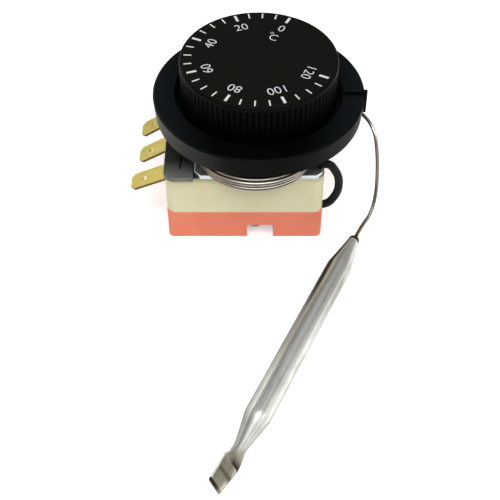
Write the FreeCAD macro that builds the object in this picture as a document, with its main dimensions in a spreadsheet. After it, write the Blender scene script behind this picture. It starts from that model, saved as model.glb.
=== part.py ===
import FreeCAD
import Part
import Sketcher
import math
import os

# Capillary dial control for an appliance: a ribbed knob on a spindle, a round bezel,
# a steel bracket, a two-part switch housing with three blade terminals, and a sealed
# sensing system of diaphragm capsule, wound capillary and bulb.
# Millimetres. The origin is on the spindle axis at the underside of the base cover.
# +Z points up along the spindle and -X is the side with the terminals.

SIZES = {
    # fits and allowances
    "running": 0.05,
    "press": 0.02,
    "seat_gap": 0.05,
    "seat_play": 0.1,
    "overrun": 1.0,
    "bite": 0.5,
    "lead_in": 0.3,
    # body of the switch
    "body_width": 45.0,
    "body_depth": 45.0,
    "body_offset": -4.0,
    "base_height": 10.5,
    "housing_height": 13.4,
    "base_corner": 1.6,
    "housing_corner": 2.8,
    "base_edge": 0.8,
    "wall": 2.0,
    "base_floor": 2.2,
    "ceiling": 1.6,
    "channel_width": 7.7,
    "channel_offset": 0.5,
    "channel_height": 5.2,
    "channel_roof": 1.8,
    "column_radius": 3.0,
    # plates on top
    "plate": 1.2,
    "plate_edge": 0.3,
    "bracket_gap": 0.3,
    "bracket_inset": 0.4,
    "bracket_overhang": 0.3,
    "bracket_chamfer": 1.9,
    "cover_width": 8.4,
    "cover_overhang": 0.3,
    "cover_lip": 1.3,
    "cover_corner": 3.0,
    "slot_width": 0.7,
    "slot_length": 6.6,
    "slot_front": 2.6,
    "slot_side": 4.4,
    "peg_inset": 5.0,
    "peg_radius": 1.2,
    "peg_length": 1.5,
    # bezel
    "bezel_gap": 6.1,
    "bezel_height": 6.3,
    "rim_width": 6.2,
    "bezel_draft": 0.45,
    "bezel_edge": 0.5,
    "bezel_skin": 1.7,
    "well_clearance": 1.75,
    "bezel_hole": 5.2,
    "boss_radius": 3.6,
    "screw_pitch": 24.0,
    "index_height": 1.1,
    "index_width": 1.1,
    "index_stand_off": 0.6,
    "index_start": 0.4,
    "index_bite": 1.2,
    "index_sink": 0.2,
    "index_shift": 2.0,
    # knob
    "knob_radius": 22.25,
    "knob_rise": 11.1,
    "knob_floor_gap": 0.6,
    "knob_edge": 0.8,
    "knob_wall": 2.1,
    "knob_top": 2.2,
    "rib_count": 84,
    "rib_depth": 0.45,
    "rib_valley": 0.65,
    "rib_band": 1.7,
    "hub_radius": 5.2,
    "hub_lift": 1.6,
    "web": 1.2,
    "web_height": 5.5,
    # spindle
    "spindle_radius": 3.0,
    "spindle_flat": 1.6,
    "flat_length": 11.5,
    "thread_radius": 2.5,
    "thread_lift": 0.8,
    "shoulder_radius": 3.8,
    "bush_radius": 4.0,
    "bush_bevel": 0.4,
    "bush_height": 6.4,
    "spigot_radius": 3.4,
    "groove_depth": 0.45,
    "circlip": 0.7,
    "circlip_radius": 4.6,
    "clip": 0.4,
    "clip_width": 4.0,
    "clip_top_gap": 2.5,
    "shoulder_drop": 0.2,
    "tip_gap": 0.3,
    "tip_bevel": 0.5,
    # screws
    "bezel_screw_radius": 2.0,
    "bezel_screw_head": 3.6,
    "bezel_screw_head_height": 2.2,
    "base_screw_radius": 1.5,
    "base_screw_head": 2.2,
    "base_screw_head_height": 2.6,
    "base_screw_x": -0.95,
    "base_screw_inset": 3.2,
    # terminals
    "tab_width": 6.3,
    "tab": 0.8,
    "tab_rise": 6.7,
    "tab_stand_off": 0.2,
    "tab_pitch": 12.5,
    "tab_tip": 2.0,
    "tab_chamfer": 1.2,
    "tab_hole": 0.8,
    "tab_hole_inset": 4.2,
    "front_tab_length": 11.4,
    "middle_tab_length": 10.4,
    "rear_tab_length": 10.9,
    "front_tab_angle": 23.5,
    "middle_tab_angle": 30.5,
    "rear_tab_angle": 33.0,
    # switch
    "contact_reach": 5.8,
    "contact_radius": 1.3,
    "contact_gap": 0.7,
    "contact_crown": 0.15,
    "lower_contact": 0.5,
    "upper_contact_gap": 0.7,
    "upper_contact": 0.9,
    "arm_width": 3.0,
    "blade": 0.3,
    "blade_width": 5.0,
    "blade_root_inset": 8.2,
    "blade_length": 10.3,
    "blade_gap": 0.3,
    "arm_inset": 3.0,
    "lever": 1.0,
    "lever_width": 7.0,
    "lever_pivot_inset": 8.5,
    "lever_overlap": 1.5,
    "lever_rise": 3.9,
    "lever_taper": 7.5,
    "nub_radius": 0.7,
    "nub_inset": 0.8,
    "pivot_radius": 1.0,
    "pivot_length": 12.6,
    "pivot_end": 0.2,
    "barrel_radius": 1.6,
    "ear": 2.0,
    "ear_half": 1.9,
    "ear_gap": 0.6,
    # setting nut and spring
    "nut_radius": 5.5,
    "nut_height": 2.2,
    "nut_headroom": 1.2,
    "nut_reach": 8.5,
    "nut_tab": 4.0,
    "guide": 1.2,
    "guide_gap": 0.3,
    "guide_inner": 1.4,
    "guide_outer": 0.6,
    "centre_clearance": 0.4,
    "spring_width": 4.0,
    "spring_leaf": 0.4,
    # sensing system
    "capsule_clearance": 0.8,
    "capsule": 2.4,
    "ripple": 0.3,
    "rim_bevel": 0.8,
    "rim_bevel_height": 0.6,
    "rim_gap": 0.15,
    "inlet_inset": 5.8,
    "stud_radius": 4.0,
    "button_radius": 3.0,
    "button_height": 0.7,
    "push_pin_radius": 1.5,
    "capillary_radius": 0.525,
    "sleeve_radius": 1.2,
    "sleeve_bore": 0.7,
    "sleeve_inset": 3.3,
    "sleeve_reach": 4.4,
    "sleeve_start": 3.0,
    "sleeve_straight": 1.6,
    "sleeve_bow": 3.0,
    "winding_shift": 0.85,
    "winding_inset": 0.1,
    "winding_setback": 1.1,
    "winding_clearance": 0.5,
    "winding_width": 3.3,
    "winding_height": 4.8,
    "winding_gap": 0.2,
    "bulb_radius": 3.5,
    "bulb_inset": 2.3,
    "bulb_front": 4.3,
    "bulb_angle": 64.9,
    "bulb_inlet_radius": 1.6,
    "bulb_approach": 6.0,
    "bulb_collar": 0.15,
    "bulb_shoulder": 11.9,
    "bulb_barrel": 55.6,
    "bulb_neck": 10.2,
    "bulb_neck_radius": 1.75,
    "bulb_end_bevel": 0.9,
    "bulb_end_drop": 0.15,
    "bulb_neck_flare": 1.2,
    "bulb_neck_drop": 0.1,
    "tail_length": 12.0,
    "tail_width": 5.2,
    "tail_end_width": 4.4,
    "tail": 1.6,
    "tail_root": 0.2,
    "tail_skew": 2.6,
}

# Shapes that stay in proportion: shares of a radius, a width or a height
WHOLE_TURN = 360
HALF_TURN = 180
WEBS = 3
SCREW_DOME = [(1, 0), (1, 0.45), (0.82, 0.85), (0.5, 1)]
SCREW_RECESS = [(0.5, 0.13), (0.13, 0.5)]
SCREW_RECESS_FLOOR = 0.4
CIRCLIP_MOUTH = 0.8
PEG_SHARE = 0.6
SLOT_TAPER = 0.7
BLADE_TAPER = 0.6
LEVER_TAPER = 0.4
RIVET_NECK = 0.6
CONTACT_FACE = 0.8
SPRING_SHARE = 0.5
ARC_SHARE = 0.45
CAPSULE_UNDER = [(0.45, 0), (0.5, 1), (0.6, 1), (0.65, 0)]
CAPSULE_OVER = [(0.8, 0), (0.75, 1), (0.6, 1), (0.55, 0)]
INLET_ANGLE = -51
BULB_COLLAR_END = 0.1
BULB_CONE_END = 0.94
# Along the tail's length, then its width, thickness and sideways shift at that place
TAIL_PINCH = [(0.25, 0.96, 1.15, 0.04), (0.42, 1, 1, 0.09)]
TAIL_END_SHIFT = 0.14

# The lead's corners: X and Y as shares of the bezel's radius, Z as a share of the plates' level
LEAD_CORNERS = [
    (0.0993, 0.1953, 1.1315), (0.3476, 0.2218, 1.1434), (0.6125, 0.2185, 1.1474),
    (0.8443, 0.1423, 1.1434), (1.0199, 0, 1.1315), (1.1126, -0.1854, 1.0757),
    (1.1457, -0.288, 0.8367), (1.159, -0.351, 0.5976), (1.159, -0.4305, 0.3665),
    (1.1126, -0.5596, 0.1753)]

Z_AXIS = FreeCAD.Vector(0, 0, 1)
TINY = 1e-6

doc = FreeCAD.newDocument("dial_control")
sheet = doc.addObject("Spreadsheet::Sheet", "Sizes")
for row, (alias, number) in enumerate(SIZES.items(), 1):
    sheet.set("A%d" % row, alias)
    sheet.set("B%d" % row, str(number))
    sheet.setAlias("B%d" % row, alias)
doc.recompute()


class Size:
    """A length that carries its number and the sheet formula that it comes from."""

    def __init__(self, number, formula):
        self.number = number
        self.formula = formula

    def joined(self, sign, other, number):
        return Size(number, "(%s %s %s)" % (self.formula, sign, as_size(other).formula))

    def __add__(self, other):
        return self.joined("+", other, self.number + as_size(other).number)

    def __radd__(self, other):
        return as_size(other) + self

    def __sub__(self, other):
        return self.joined("-", other, self.number - as_size(other).number)

    def __rsub__(self, other):
        return as_size(other) - self

    def __mul__(self, other):
        return self.joined("*", other, self.number * as_size(other).number)

    def __rmul__(self, other):
        return as_size(other) * self

    def __truediv__(self, other):
        return self.joined("/", other, self.number / as_size(other).number)

    def __neg__(self):
        return 0 - self

    def __float__(self):
        return float(self.number)


def as_size(value):
    return value if isinstance(value, Size) else Size(float(value), "%.6f" % float(value))


def smaller(one, other):
    return Size(min(one.number, other.number), "min(%s; %s)" % (one.formula, other.formula))


class Table:
    """Gives each driving dimension by name, tied to its cell."""

    def __getattr__(self, alias):
        return Size(float(sheet.get(alias)), "Sizes." + alias)


size = Table()


def bind(item, **sizes):
    """Ties properties of a feature to the sheet; two underscores stand for a dot."""
    for name, value in sizes.items():
        item.setExpression(name.replace("__", "."), as_size(value).formula)


def vector(x, y, z=0.0):
    return FreeCAD.Vector(float(x), float(y), float(z))


# Part primitives and booleans

TURNS = {
    "x": FreeCAD.Rotation(FreeCAD.Vector(0, 1, 0), 90),
    "y": FreeCAD.Rotation(FreeCAD.Vector(1, 0, 0), -90),
    "z": FreeCAD.Rotation(),
}


def put(item, x=0.0, y=0.0, z=0.0):
    bind(item, Placement__Base__x=x, Placement__Base__y=y, Placement__Base__z=z)


def box(name, x, y, z):
    """A block between a low and a high value along each axis."""
    item = doc.addObject("Part::Box", name)
    bind(item, Length=x[1] - x[0], Width=y[1] - y[0], Height=z[1] - z[0])
    put(item, x[0], y[0], z[0])
    return item


def rod(name, radius, length, at, axis="z"):
    """A round bar that starts at a point and runs along an axis."""
    item = doc.addObject("Part::Cylinder", name)
    bind(item, Radius=radius, Height=length)
    item.Placement.Rotation = TURNS[axis]
    put(item, *at)
    return item


def fuse(name, *pieces):
    item = doc.addObject("Part::MultiFuse", name)
    item.Shapes = list(pieces)
    item.Refine = True
    return item


def cut(name, base, *tools):
    item = doc.addObject("Part::Cut", name)
    item.Base = base
    item.Tool = tools[0] if len(tools) == 1 else fuse(name + "_tools", *tools)
    item.Refine = True
    return item


# Bodies made from sketches

def new_sketch(body, role, name, level=0.0):
    sketch = body.newObject("Sketcher::SketchObject", name)
    plane = [item for item in body.Origin.OriginFeatures if item.Role == role][0]
    sketch.AttachmentSupport = [(plane, "")]
    sketch.MapMode = "FlatFace"
    bind(sketch, AttachmentOffset__Base__z=level)
    return sketch


def hold(sketch, line, end, kind, value):
    """Holds one end of a line at its distance from the sketch's own axes."""
    value = as_size(value)
    if abs(value.number) < TINY:
        axis = -2 if kind == "DistanceX" else -1
        sketch.addConstraint(Sketcher.Constraint("PointOnObject", line, end, axis))
        return
    if value.number > 0:
        rule = Sketcher.Constraint(kind, -1, 1, line, end, value.number)
        formula = value.formula
    else:
        rule = Sketcher.Constraint(kind, line, end, -1, 1, -value.number)
        formula = (0 - value).formula
    index = sketch.addConstraint(rule)
    sketch.setExpression("Constraints[%d]" % index, formula)


def outline(sketch, corners):
    """A closed chain of straight edges with every corner held by the sheet."""
    first = sketch.GeometryCount
    for here, there in zip(corners, corners[1:] + corners[:1]):
        sketch.addGeometry(Part.LineSegment(vector(*here), vector(*there)), False)
    for place, (x, y) in enumerate(corners):
        line = first + place
        following = first + (place + 1) % len(corners)
        sketch.addConstraint(Sketcher.Constraint("Coincident", line, 2, following, 1))
        hold(sketch, line, 1, "DistanceX", x)
        hold(sketch, line, 1, "DistanceY", y)


def ring(sketch, radius, x=0.0, y=0.0):
    """A circle in a sketch, held by its centre and radius."""
    circle = sketch.GeometryCount
    shape = Part.Circle(vector(x, y), FreeCAD.Vector(0, 0, 1), float(radius))
    sketch.addGeometry(shape, False)
    hold(sketch, circle, 3, "DistanceX", x)
    hold(sketch, circle, 3, "DistanceY", y)
    index = sketch.addConstraint(Sketcher.Constraint("Radius", circle, float(radius)))
    sketch.setExpression("Constraints[%d]" % index, as_size(radius).formula)


def new_body(name):
    return doc.addObject("PartDesign::Body", name)


def turned(name, corners):
    """A body turned about the Z axis from a half section of radius and height pairs."""
    body = new_body(name)
    sketch = new_sketch(body, "XZ_Plane", name + "_section")
    outline(sketch, corners)
    feature = body.newObject("PartDesign::Revolution", name + "_turned")
    feature.Profile = sketch
    feature.ReferenceAxis = (sketch, ["V_Axis"])
    feature.Angle = WHOLE_TURN
    return body


def padded(name, corners, bottom, height, circles=()):
    """A body raised from a plan outline, with round holes left in it."""
    body = new_body(name)
    sketch = new_sketch(body, "XY_Plane", name + "_plan", bottom)
    outline(sketch, corners)
    for radius, x, y in circles:
        ring(sketch, radius, x, y)
    feature = body.newObject("PartDesign::Pad", name + "_pad")
    feature.Profile = sketch
    bind(feature, Length=height)
    return body


def dressed(body, kind, radius, chosen):
    """Rounds or bevels the edges of a body's tip that the test picks."""
    doc.recompute()
    tip = body.Tip
    edges = []
    for number, edge in enumerate(tip.Shape.Edges, 1):
        if chosen(edge):
            edges.append("Edge%d" % number)
    feature = body.newObject("PartDesign::" + kind, "%s_%s" % (body.Name, kind.lower()))
    feature.Base = (tip, edges)
    bind(feature, **{"Radius" if kind == "Fillet" else "Size": radius})
    body.Tip = feature
    doc.recompute()
    return body


def spread(edge, axis):
    box_of_edge = edge.BoundBox
    return {"x": box_of_edge.XLength, "y": box_of_edge.YLength, "z": box_of_edge.ZLength}[axis]


def top_rim(edge):
    return at_level(edge, plate_top) and isinstance(edge.Curve, Part.Line)


def upright(edge):
    return spread(edge, "x") < TINY and spread(edge, "y") < TINY


def at_level(edge, level):
    return spread(edge, "z") < TINY and abs(edge.BoundBox.ZMin - float(level)) < TINY


def rectangle(x, y):
    return [(x[0], y[0]), (x[1], y[0]), (x[1], y[1]), (x[0], y[1])]


# Levels and places worked out from the driving sizes

body_left = size.body_offset - size.body_width / 2
body_right = size.body_offset + size.body_width / 2
body_back = size.body_depth / 2
body_front = -body_back
seam = size.base_height
housing_top = seam + size.housing_height
plate_top = housing_top + size.plate
cover_left = body_left - size.cover_overhang
cover_right = cover_left + size.cover_width
bracket_left = cover_right + size.bracket_gap
bracket_right = body_right - size.bracket_inset
well_radius = size.knob_radius + size.well_clearance
bezel_radius = well_radius + size.rim_width
bezel_bottom = plate_top + size.bezel_gap
bezel_top = bezel_bottom + size.bezel_height
well_floor = bezel_bottom + size.bezel_skin
knob_bottom = well_floor + size.knob_floor_gap
knob_face = bezel_top + size.knob_rise
knob_ceiling = knob_face - size.knob_top
ceiling_level = housing_top - size.ceiling
channel_left = size.channel_offset - size.channel_width / 2
channel_right = size.channel_offset + size.channel_width / 2
ridge_top = size.channel_height + size.channel_roof
base_screw_y = body_back - size.base_screw_inset
tab_level = seam + size.tab_rise
tab_bottom = tab_level - size.tab / 2
tab_top = tab_level + size.tab / 2
half_pitch = size.screw_pitch / 2
sleeve_y = body_front + size.sleeve_inset
blade_root = body_left + size.blade_root_inset
contact_x = blade_root + size.contact_reach
blade_tip = blade_root + size.blade_length
lever_tip = blade_tip - size.lever_overlap
lever_pivot = body_right - size.lever_pivot_inset
capsule_radius = smaller(body_right - size.wall,
                         base_screw_y - size.column_radius) - size.capsule_clearance
winding_rear = half_pitch - size.boss_radius - size.winding_clearance
winding_front = size.winding_setback - bezel_radius
winding_x = (bracket_left + bracket_right) / 2 - size.winding_shift
winding_y = (winding_rear + winding_front) / 2
winding_half_x = (bracket_right - bracket_left) / 2 - size.winding_inset
winding_half_y = (winding_rear - winding_front) / 2
capsule_bottom = seam - size.capsule / 2
capsule_top = seam + size.capsule / 2
button_top = capsule_top + size.button_height
lever_level = seam + size.lever_rise
lever_top = lever_level + size.lever
nut_level = ceiling_level - size.nut_headroom - size.nut_height
pivot_level = lever_level + size.lever / 2
blade_bottom = tab_bottom - size.blade
contact_bottom = blade_bottom - size.contact_gap
contact_top = tab_bottom + size.contact_gap / 2
bush_top = plate_top + size.bush_height


def footprint():
    return rectangle((body_left, body_right), (body_front, body_back))


def inner_space(name, low, high):
    """The hollow inside the four walls between two levels."""
    return box(name, (body_left + size.wall, body_right - size.wall),
               (body_front + size.wall, body_back - size.wall), (low, high))


def columns(name, low, high):
    """The two posts round the assembly screws."""
    return [rod("%s_%s" % (name, end), size.column_radius, high - low,
                (size.base_screw_x, sign * base_screw_y, low))
            for end, sign in (("front", -1), ("rear", 1))]


def screw_holes(name, low, high):
    return [rod("%s_%s" % (name, end), size.base_screw_radius + size.running, high - low,
                (size.base_screw_x, sign * base_screw_y, low))
            for end, sign in (("front", -1), ("rear", 1))]


def sleeve_hole(name):
    """The round outlet for the sleeve, half in each housing part."""
    return rod(name, size.sleeve_radius + size.running, size.wall * 2,
               (body_right - size.wall - size.bite, sleeve_y, seam), "x")


# Knob and what turns with it

def make_knob():
    body = turned("knob_cap", [
        (0, knob_face),
        (size.knob_radius - size.knob_edge, knob_face),
        (size.knob_radius, knob_face - size.knob_edge),
        (size.knob_radius, knob_bottom),
        (size.knob_radius - size.knob_wall, knob_bottom),
        (size.knob_radius - size.knob_wall, knob_ceiling),
        (size.hub_radius, knob_ceiling),
        (size.hub_radius, knob_bottom + size.hub_lift),
        (0, knob_bottom + size.hub_lift)])
    rib_length = knob_face - size.rib_band - knob_bottom
    valley = new_sketch(body, "XY_Plane", "rib_valley", knob_bottom)
    outside = size.knob_radius + size.rib_depth
    half = size.rib_valley * 2
    outline(valley, [(size.knob_radius - size.rib_depth, 0), (outside, -half), (outside, half)])
    pocket = body.newObject("PartDesign::Pocket", "rib_cut")
    pocket.Profile = valley
    pocket.Reversed = True
    bind(pocket, Length=rib_length)
    doc.recompute()
    pattern = body.newObject("PartDesign::PolarPattern", "rib_pattern")
    pattern.Originals = [pocket]
    pattern.Axis = (valley, ["N_Axis"])
    pattern.Angle = WHOLE_TURN
    bind(pattern, Occurrences=size.rib_count)
    body.Tip = pattern
    webs = []
    reach = size.knob_radius - size.knob_wall / 2
    for number in range(WEBS):
        web = box("knob_web_%d" % number, (-reach, reach), (-size.web / 2, size.web / 2),
                  (knob_ceiling - size.web_height, knob_ceiling + size.bite))
        turn = doc.addObject("Part::Feature", "knob_web_turned_%d" % number)
        doc.recompute()
        turn.Shape = web.Shape.rotated(FreeCAD.Vector(), Z_AXIS, HALF_TURN / WEBS * number)
        webs.append(turn)
    bore = rod("knob_bore", size.spindle_radius + size.running,
               knob_ceiling - knob_bottom, (0, 0, knob_bottom))
    land = box("knob_bore_land", (size.spindle_flat + size.clip + size.running, size.hub_radius),
               (-size.hub_radius, size.hub_radius),
               (knob_ceiling - size.flat_length, knob_ceiling))
    return cut("knob", fuse("knob_solid", body, *webs), cut("knob_d_bore", bore, land))


def make_knob_clip():
    thin = size.running / 2
    half = size.clip_width / 2
    return box("knob_clip", (size.spindle_flat + thin, size.spindle_flat + thin + size.clip),
               (-half, half),
               (knob_ceiling - size.flat_length + size.bite, knob_ceiling - size.clip_top_gap))


def make_spindle():
    groove = bush_top + size.running
    neck = size.spindle_radius - size.groove_depth
    shoulder_bottom = ceiling_level - size.shoulder_drop
    shoulder_top = housing_top - size.seat_play
    top = knob_ceiling - size.tip_gap
    body = turned("spindle_bar", [
        (0, nut_level + size.thread_lift),
        (size.thread_radius, nut_level + size.thread_lift),
        (size.thread_radius, shoulder_bottom),
        (size.shoulder_radius, shoulder_bottom),
        (size.shoulder_radius, shoulder_top),
        (size.spindle_radius, shoulder_top),
        (size.spindle_radius, groove),
        (neck, groove),
        (neck, groove + size.circlip + size.running),
        (size.spindle_radius, groove + size.circlip + size.running),
        (size.spindle_radius, top - size.tip_bevel),
        (size.spindle_radius - size.tip_bevel, top),
        (0, top)])
    outside = size.spindle_radius + size.overrun
    flat = box("spindle_flat_cut", (size.spindle_flat, outside), (-outside, outside),
               (knob_ceiling - size.flat_length - size.bite, knob_ceiling + size.overrun))
    return cut("spindle", body, flat)


def make_spindle_circlip():
    level = bush_top + size.running
    low = level - size.overrun
    inner = size.spindle_radius - size.groove_depth + size.running
    mouth_half = inner * CIRCLIP_MOUTH
    disc = rod("circlip_disc", size.circlip_radius, size.circlip, (0, 0, level))
    hole = rod("circlip_hole", inner, size.circlip + size.overrun * 2, (0, 0, low))
    mouth = box("circlip_mouth", (-size.circlip_radius - size.overrun, 0), (-mouth_half, mouth_half),
                (low, level + size.circlip + size.overrun))
    return cut("spindle_circlip", disc, hole, mouth)


# Bezel and its screws

def make_bezel():
    skirt = bezel_radius - size.bezel_draft
    body = turned("bezel_shell", [
        (size.bezel_hole, bezel_bottom),
        (well_radius + size.bezel_skin, bezel_bottom),
        (well_radius + size.bezel_skin, bezel_top - size.bezel_skin),
        (bezel_radius - size.bezel_skin, bezel_top - size.bezel_skin),
        (skirt - size.bezel_skin, bezel_bottom),
        (skirt, bezel_bottom),
        (bezel_radius, bezel_top - size.bezel_edge),
        (bezel_radius - size.bezel_edge, bezel_top),
        (well_radius, bezel_top),
        (well_radius, well_floor),
        (size.bezel_hole, well_floor)])
    pieces = [body]
    holes = []
    for end, sign in (("front", -1), ("rear", 1)):
        pieces.append(rod("bezel_boss_" + end, size.boss_radius, well_floor - plate_top,
                          (0, sign * half_pitch, plate_top)))
        holes.append(rod("bezel_hole_" + end, size.bezel_screw_radius + size.running,
                         size.bezel_gap + size.bezel_height,
                         (0, sign * half_pitch, plate_top - size.overrun)))
    half = size.index_width / 2
    shift = size.index_shift
    pieces.append(box("index_rib", (well_radius + size.index_start, bezel_radius + size.index_stand_off),
                      (-half - shift, half - shift),
                      (bezel_top - size.index_sink, bezel_top + size.index_height)))
    pieces.append(box("index_rib_side", (bezel_radius - size.index_bite, bezel_radius + size.index_stand_off),
                      (-half - shift, half - shift), (bezel_bottom, bezel_top + size.index_sink)))
    return cut("bezel", fuse("bezel_solid", *pieces), *holes)


def pan_screw(name, shank, head, head_height, length):
    """A domed screw standing head up with the seat of its head at the origin."""
    dome = [(head * share, head_height * rise) for share, rise in SCREW_DOME]
    body = turned(name, [
        (0, -length),
        (shank - size.lead_in, -length),
        (shank, size.lead_in - length),
        (shank, 0)] + dome + [(0, head_height)])
    recess = []
    for number, (along, across) in enumerate(SCREW_RECESS):
        recess.append(box("%s_slot_%d" % (name, number), (-head * along, head * along),
                          (-head * across, head * across),
                          (head_height * SCREW_RECESS_FLOOR, head_height + size.overrun)))
    return cut(name + "_driven", body, *recess)


def settled(name, source, x, y, z, turn=FreeCAD.Rotation()):
    """A node of its own: a copy of a finished solid, put in its place."""
    doc.recompute()
    item = doc.addObject("Part::Feature", name)
    item.Shape = source.Shape
    item.Placement = FreeCAD.Placement(vector(x, y, z), turn)
    return item


def make_screws():
    panel = pan_screw("bezel_screw", size.bezel_screw_radius, size.bezel_screw_head,
                      size.bezel_screw_head_height, well_floor - housing_top - size.running)
    long_screw = pan_screw("assembly_screw", size.base_screw_radius, size.base_screw_head,
                           size.base_screw_head_height, plate_top - size.channel_height)
    over = FreeCAD.Rotation(FreeCAD.Vector(1, 0, 0), HALF_TURN)
    made = []
    for end, sign in (("front", -1), ("rear", 1)):
        made.append(settled("bezel_screw_" + end, panel, 0, sign * half_pitch, well_floor))
        made.append(settled("assembly_screw_" + end, long_screw, size.base_screw_x,
                            sign * base_screw_y, size.channel_height, over))
    return made


# Plates, bush and housing

def make_bracket():
    left = bracket_left
    right = bracket_right
    end = body_back + size.bracket_overhang
    bevel = size.bracket_chamfer
    corners = [(left + bevel, -end), (right - bevel, -end), (right, -end + bevel),
               (right, end - bevel), (right - bevel, end), (left + bevel, end),
               (left, end - bevel), (left, -end + bevel)]
    fixing = size.base_screw_radius + size.running
    panel = size.bezel_screw_radius + size.running
    body = padded("bracket", corners, housing_top, size.plate, [
        (size.spigot_radius + size.running, 0, 0),
        (fixing, size.base_screw_x, base_screw_y), (fixing, size.base_screw_x, -base_screw_y),
        (panel, 0, half_pitch), (panel, 0, -half_pitch)])
    dressed(body, "Fillet", size.plate_edge, top_rim)
    return body


def make_spindle_bush():
    bore = size.spindle_radius + size.running
    return turned("spindle_bush", [
        (bore, housing_top), (size.spigot_radius, housing_top), (size.spigot_radius, plate_top),
        (size.bush_radius, plate_top), (size.bush_radius, bush_top - size.bush_bevel),
        (size.bush_radius - size.bush_bevel, bush_top), (bore, bush_top)])


def peg_places():
    x = body_left + size.peg_inset
    return [(x, body_front * PEG_SHARE), (x, body_back * PEG_SHARE)]


def make_terminal_cover():
    plan = rectangle((cover_left, cover_right),
                     (body_front - size.cover_lip, body_back + size.cover_lip))
    body = padded("terminal_cover_plate", plan, housing_top, size.plate)
    outer = float(cover_left)
    dressed(body, "Fillet", size.cover_corner,
            lambda edge: upright(edge) and abs(edge.BoundBox.XMin - outer) < TINY)
    dressed(body, "Fillet", size.plate_edge, top_rim)
    slot_left = cover_left + size.slot_side
    slot_front = body_front + size.slot_front
    slot = padded("terminal_cover_slot", [
        (slot_left, slot_front), (slot_left + size.slot_width * SLOT_TAPER, slot_front),
        (slot_left + size.slot_width, slot_front + size.slot_length),
        (slot_left, slot_front + size.slot_length)],
        housing_top - size.overrun, size.plate + size.overrun * 2)
    pegs = [rod("terminal_cover_peg_%d" % number, size.peg_radius, size.peg_length + size.bite,
                (x, y, housing_top - size.peg_length)) for number, (x, y) in enumerate(peg_places())]
    return cut("terminal_cover", fuse("terminal_cover_solid", body, *pegs), slot)


def tab_slot(name, y):
    half = size.tab_width / 2 + size.running
    return box(name, (body_left - size.overrun, body_left + size.wall + size.overrun),
               (y - half, y + half),
               (tab_bottom - size.running, tab_top + size.running))


def make_upper_housing():
    body = padded("upper_housing_block", footprint(), seam, size.housing_height)
    dressed(body, "Fillet", size.housing_corner, upright)
    hollow = inner_space("upper_housing_hollow", seam - size.overrun, ceiling_level)
    root = ceiling_level + size.bite
    added = columns("upper_housing_column", seam, root)
    for end, sign in (("front", -1), ("rear", 1)):
        inner = size.lever_width / 2 + size.ear_gap
        span = sorted((sign * inner, sign * (inner + size.ear)), key=float)
        added.append(box("pivot_ear_" + end, (lever_pivot - size.ear_half, lever_pivot + size.ear_half),
                         tuple(span), (pivot_level - size.ear_half, root)))
        for side, way in (("left", -1), ("right", 1)):
            near = size.nut_tab / 2 + size.guide_gap
            wide = sorted((way * near, way * (near + size.guide)), key=float)
            deep = sorted((sign * (size.nut_reach - size.guide_inner),
                           sign * (size.nut_reach + size.guide_outer)), key=float)
            added.append(box("nut_guide_%s_%s" % (end, side), tuple(wide), tuple(deep),
                             (nut_level - size.bite, root)))
    shell = fuse("upper_housing_shell", cut("upper_housing_tray", body, hollow), *added)
    tools = screw_holes("upper_housing_hole", seam - size.overrun, housing_top + size.overrun)
    tools.append(rod("upper_housing_centre", size.shoulder_radius + size.centre_clearance,
                     size.ceiling + size.overrun * 2, (0, 0, ceiling_level - size.overrun)))
    tools.append(rod("upper_housing_pivot", size.pivot_radius + size.press,
                     size.pivot_length + size.pivot_end * 2,
                     (lever_pivot, -size.pivot_length / 2 - size.pivot_end, pivot_level), "y"))
    tools.append(sleeve_hole("upper_housing_outlet"))
    tools += [rod("upper_housing_peg_%d" % number, size.peg_radius + size.running,
                  size.peg_length + size.overrun, (x, y, housing_top - size.peg_length - size.seat_play))
              for number, (x, y) in enumerate(peg_places())]
    tools += [tab_slot("upper_housing_tab_%d" % way, way * size.tab_pitch) for way in (-1, 0, 1)]
    return cut("upper_housing", shell, *tools)


def make_base_cover():
    body = padded("base_cover_block", footprint(), 0, size.base_height)
    dressed(body, "Fillet", size.base_corner, upright)
    dressed(body, "Fillet", size.base_edge, lambda edge: at_level(edge, 0))
    over = seam + size.overrun
    hollow = inner_space("base_cover_hollow", size.base_floor, over)
    ridge = box("base_cover_ridge", (channel_left - size.wall, channel_right + size.wall),
                (body_front + size.wall / 2, body_back - size.wall / 2), (size.base_floor / 2, ridge_top))
    added = columns("base_cover_column", size.channel_height, seam)
    shell = fuse("base_cover_shell", cut("base_cover_tray", body, hollow), ridge, *added)
    channel = box("base_cover_channel", (channel_left, channel_right),
                  (body_front - size.overrun, body_back + size.overrun),
                  (-size.overrun, size.channel_height))
    return cut("base_cover", shell, channel, sleeve_hole("base_cover_outlet"),
               *screw_holes("base_cover_hole", size.channel_height - size.overrun, over))


# Terminals and the switch

def tab(name, length, y, droop):
    """A blade that leaves the wall and bends down towards its tip."""
    half = size.tab_width / 2
    tip = size.tab_tip
    x = body_left - size.tab_stand_off
    body = padded(name + "_blade", [
        (0, -half), (length - size.tab_chamfer, -half), (length, -tip), (length, tip),
        (length - size.tab_chamfer, half), (0, half)], -size.tab / 2, size.tab,
        [(size.tab_hole, length - size.tab_hole_inset, 0)])
    doc.recompute()
    outward = FreeCAD.Rotation(Z_AXIS, HALF_TURN)
    down = FreeCAD.Rotation(FreeCAD.Vector(0, 1, 0), -float(droop))
    body.Placement = FreeCAD.Placement(vector(x, y, tab_level), down.multiply(outward))
    root = rod(name + "_bend", size.tab / 2, size.tab_width, (x, y - half, tab_level), "y")
    return [body, root]


def tab_strip(name, y, inner):
    half = size.tab_width / 2
    return box(name, (body_left - size.tab_stand_off, inner), (y - half, y + half),
               (tab_bottom, tab_top))


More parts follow.
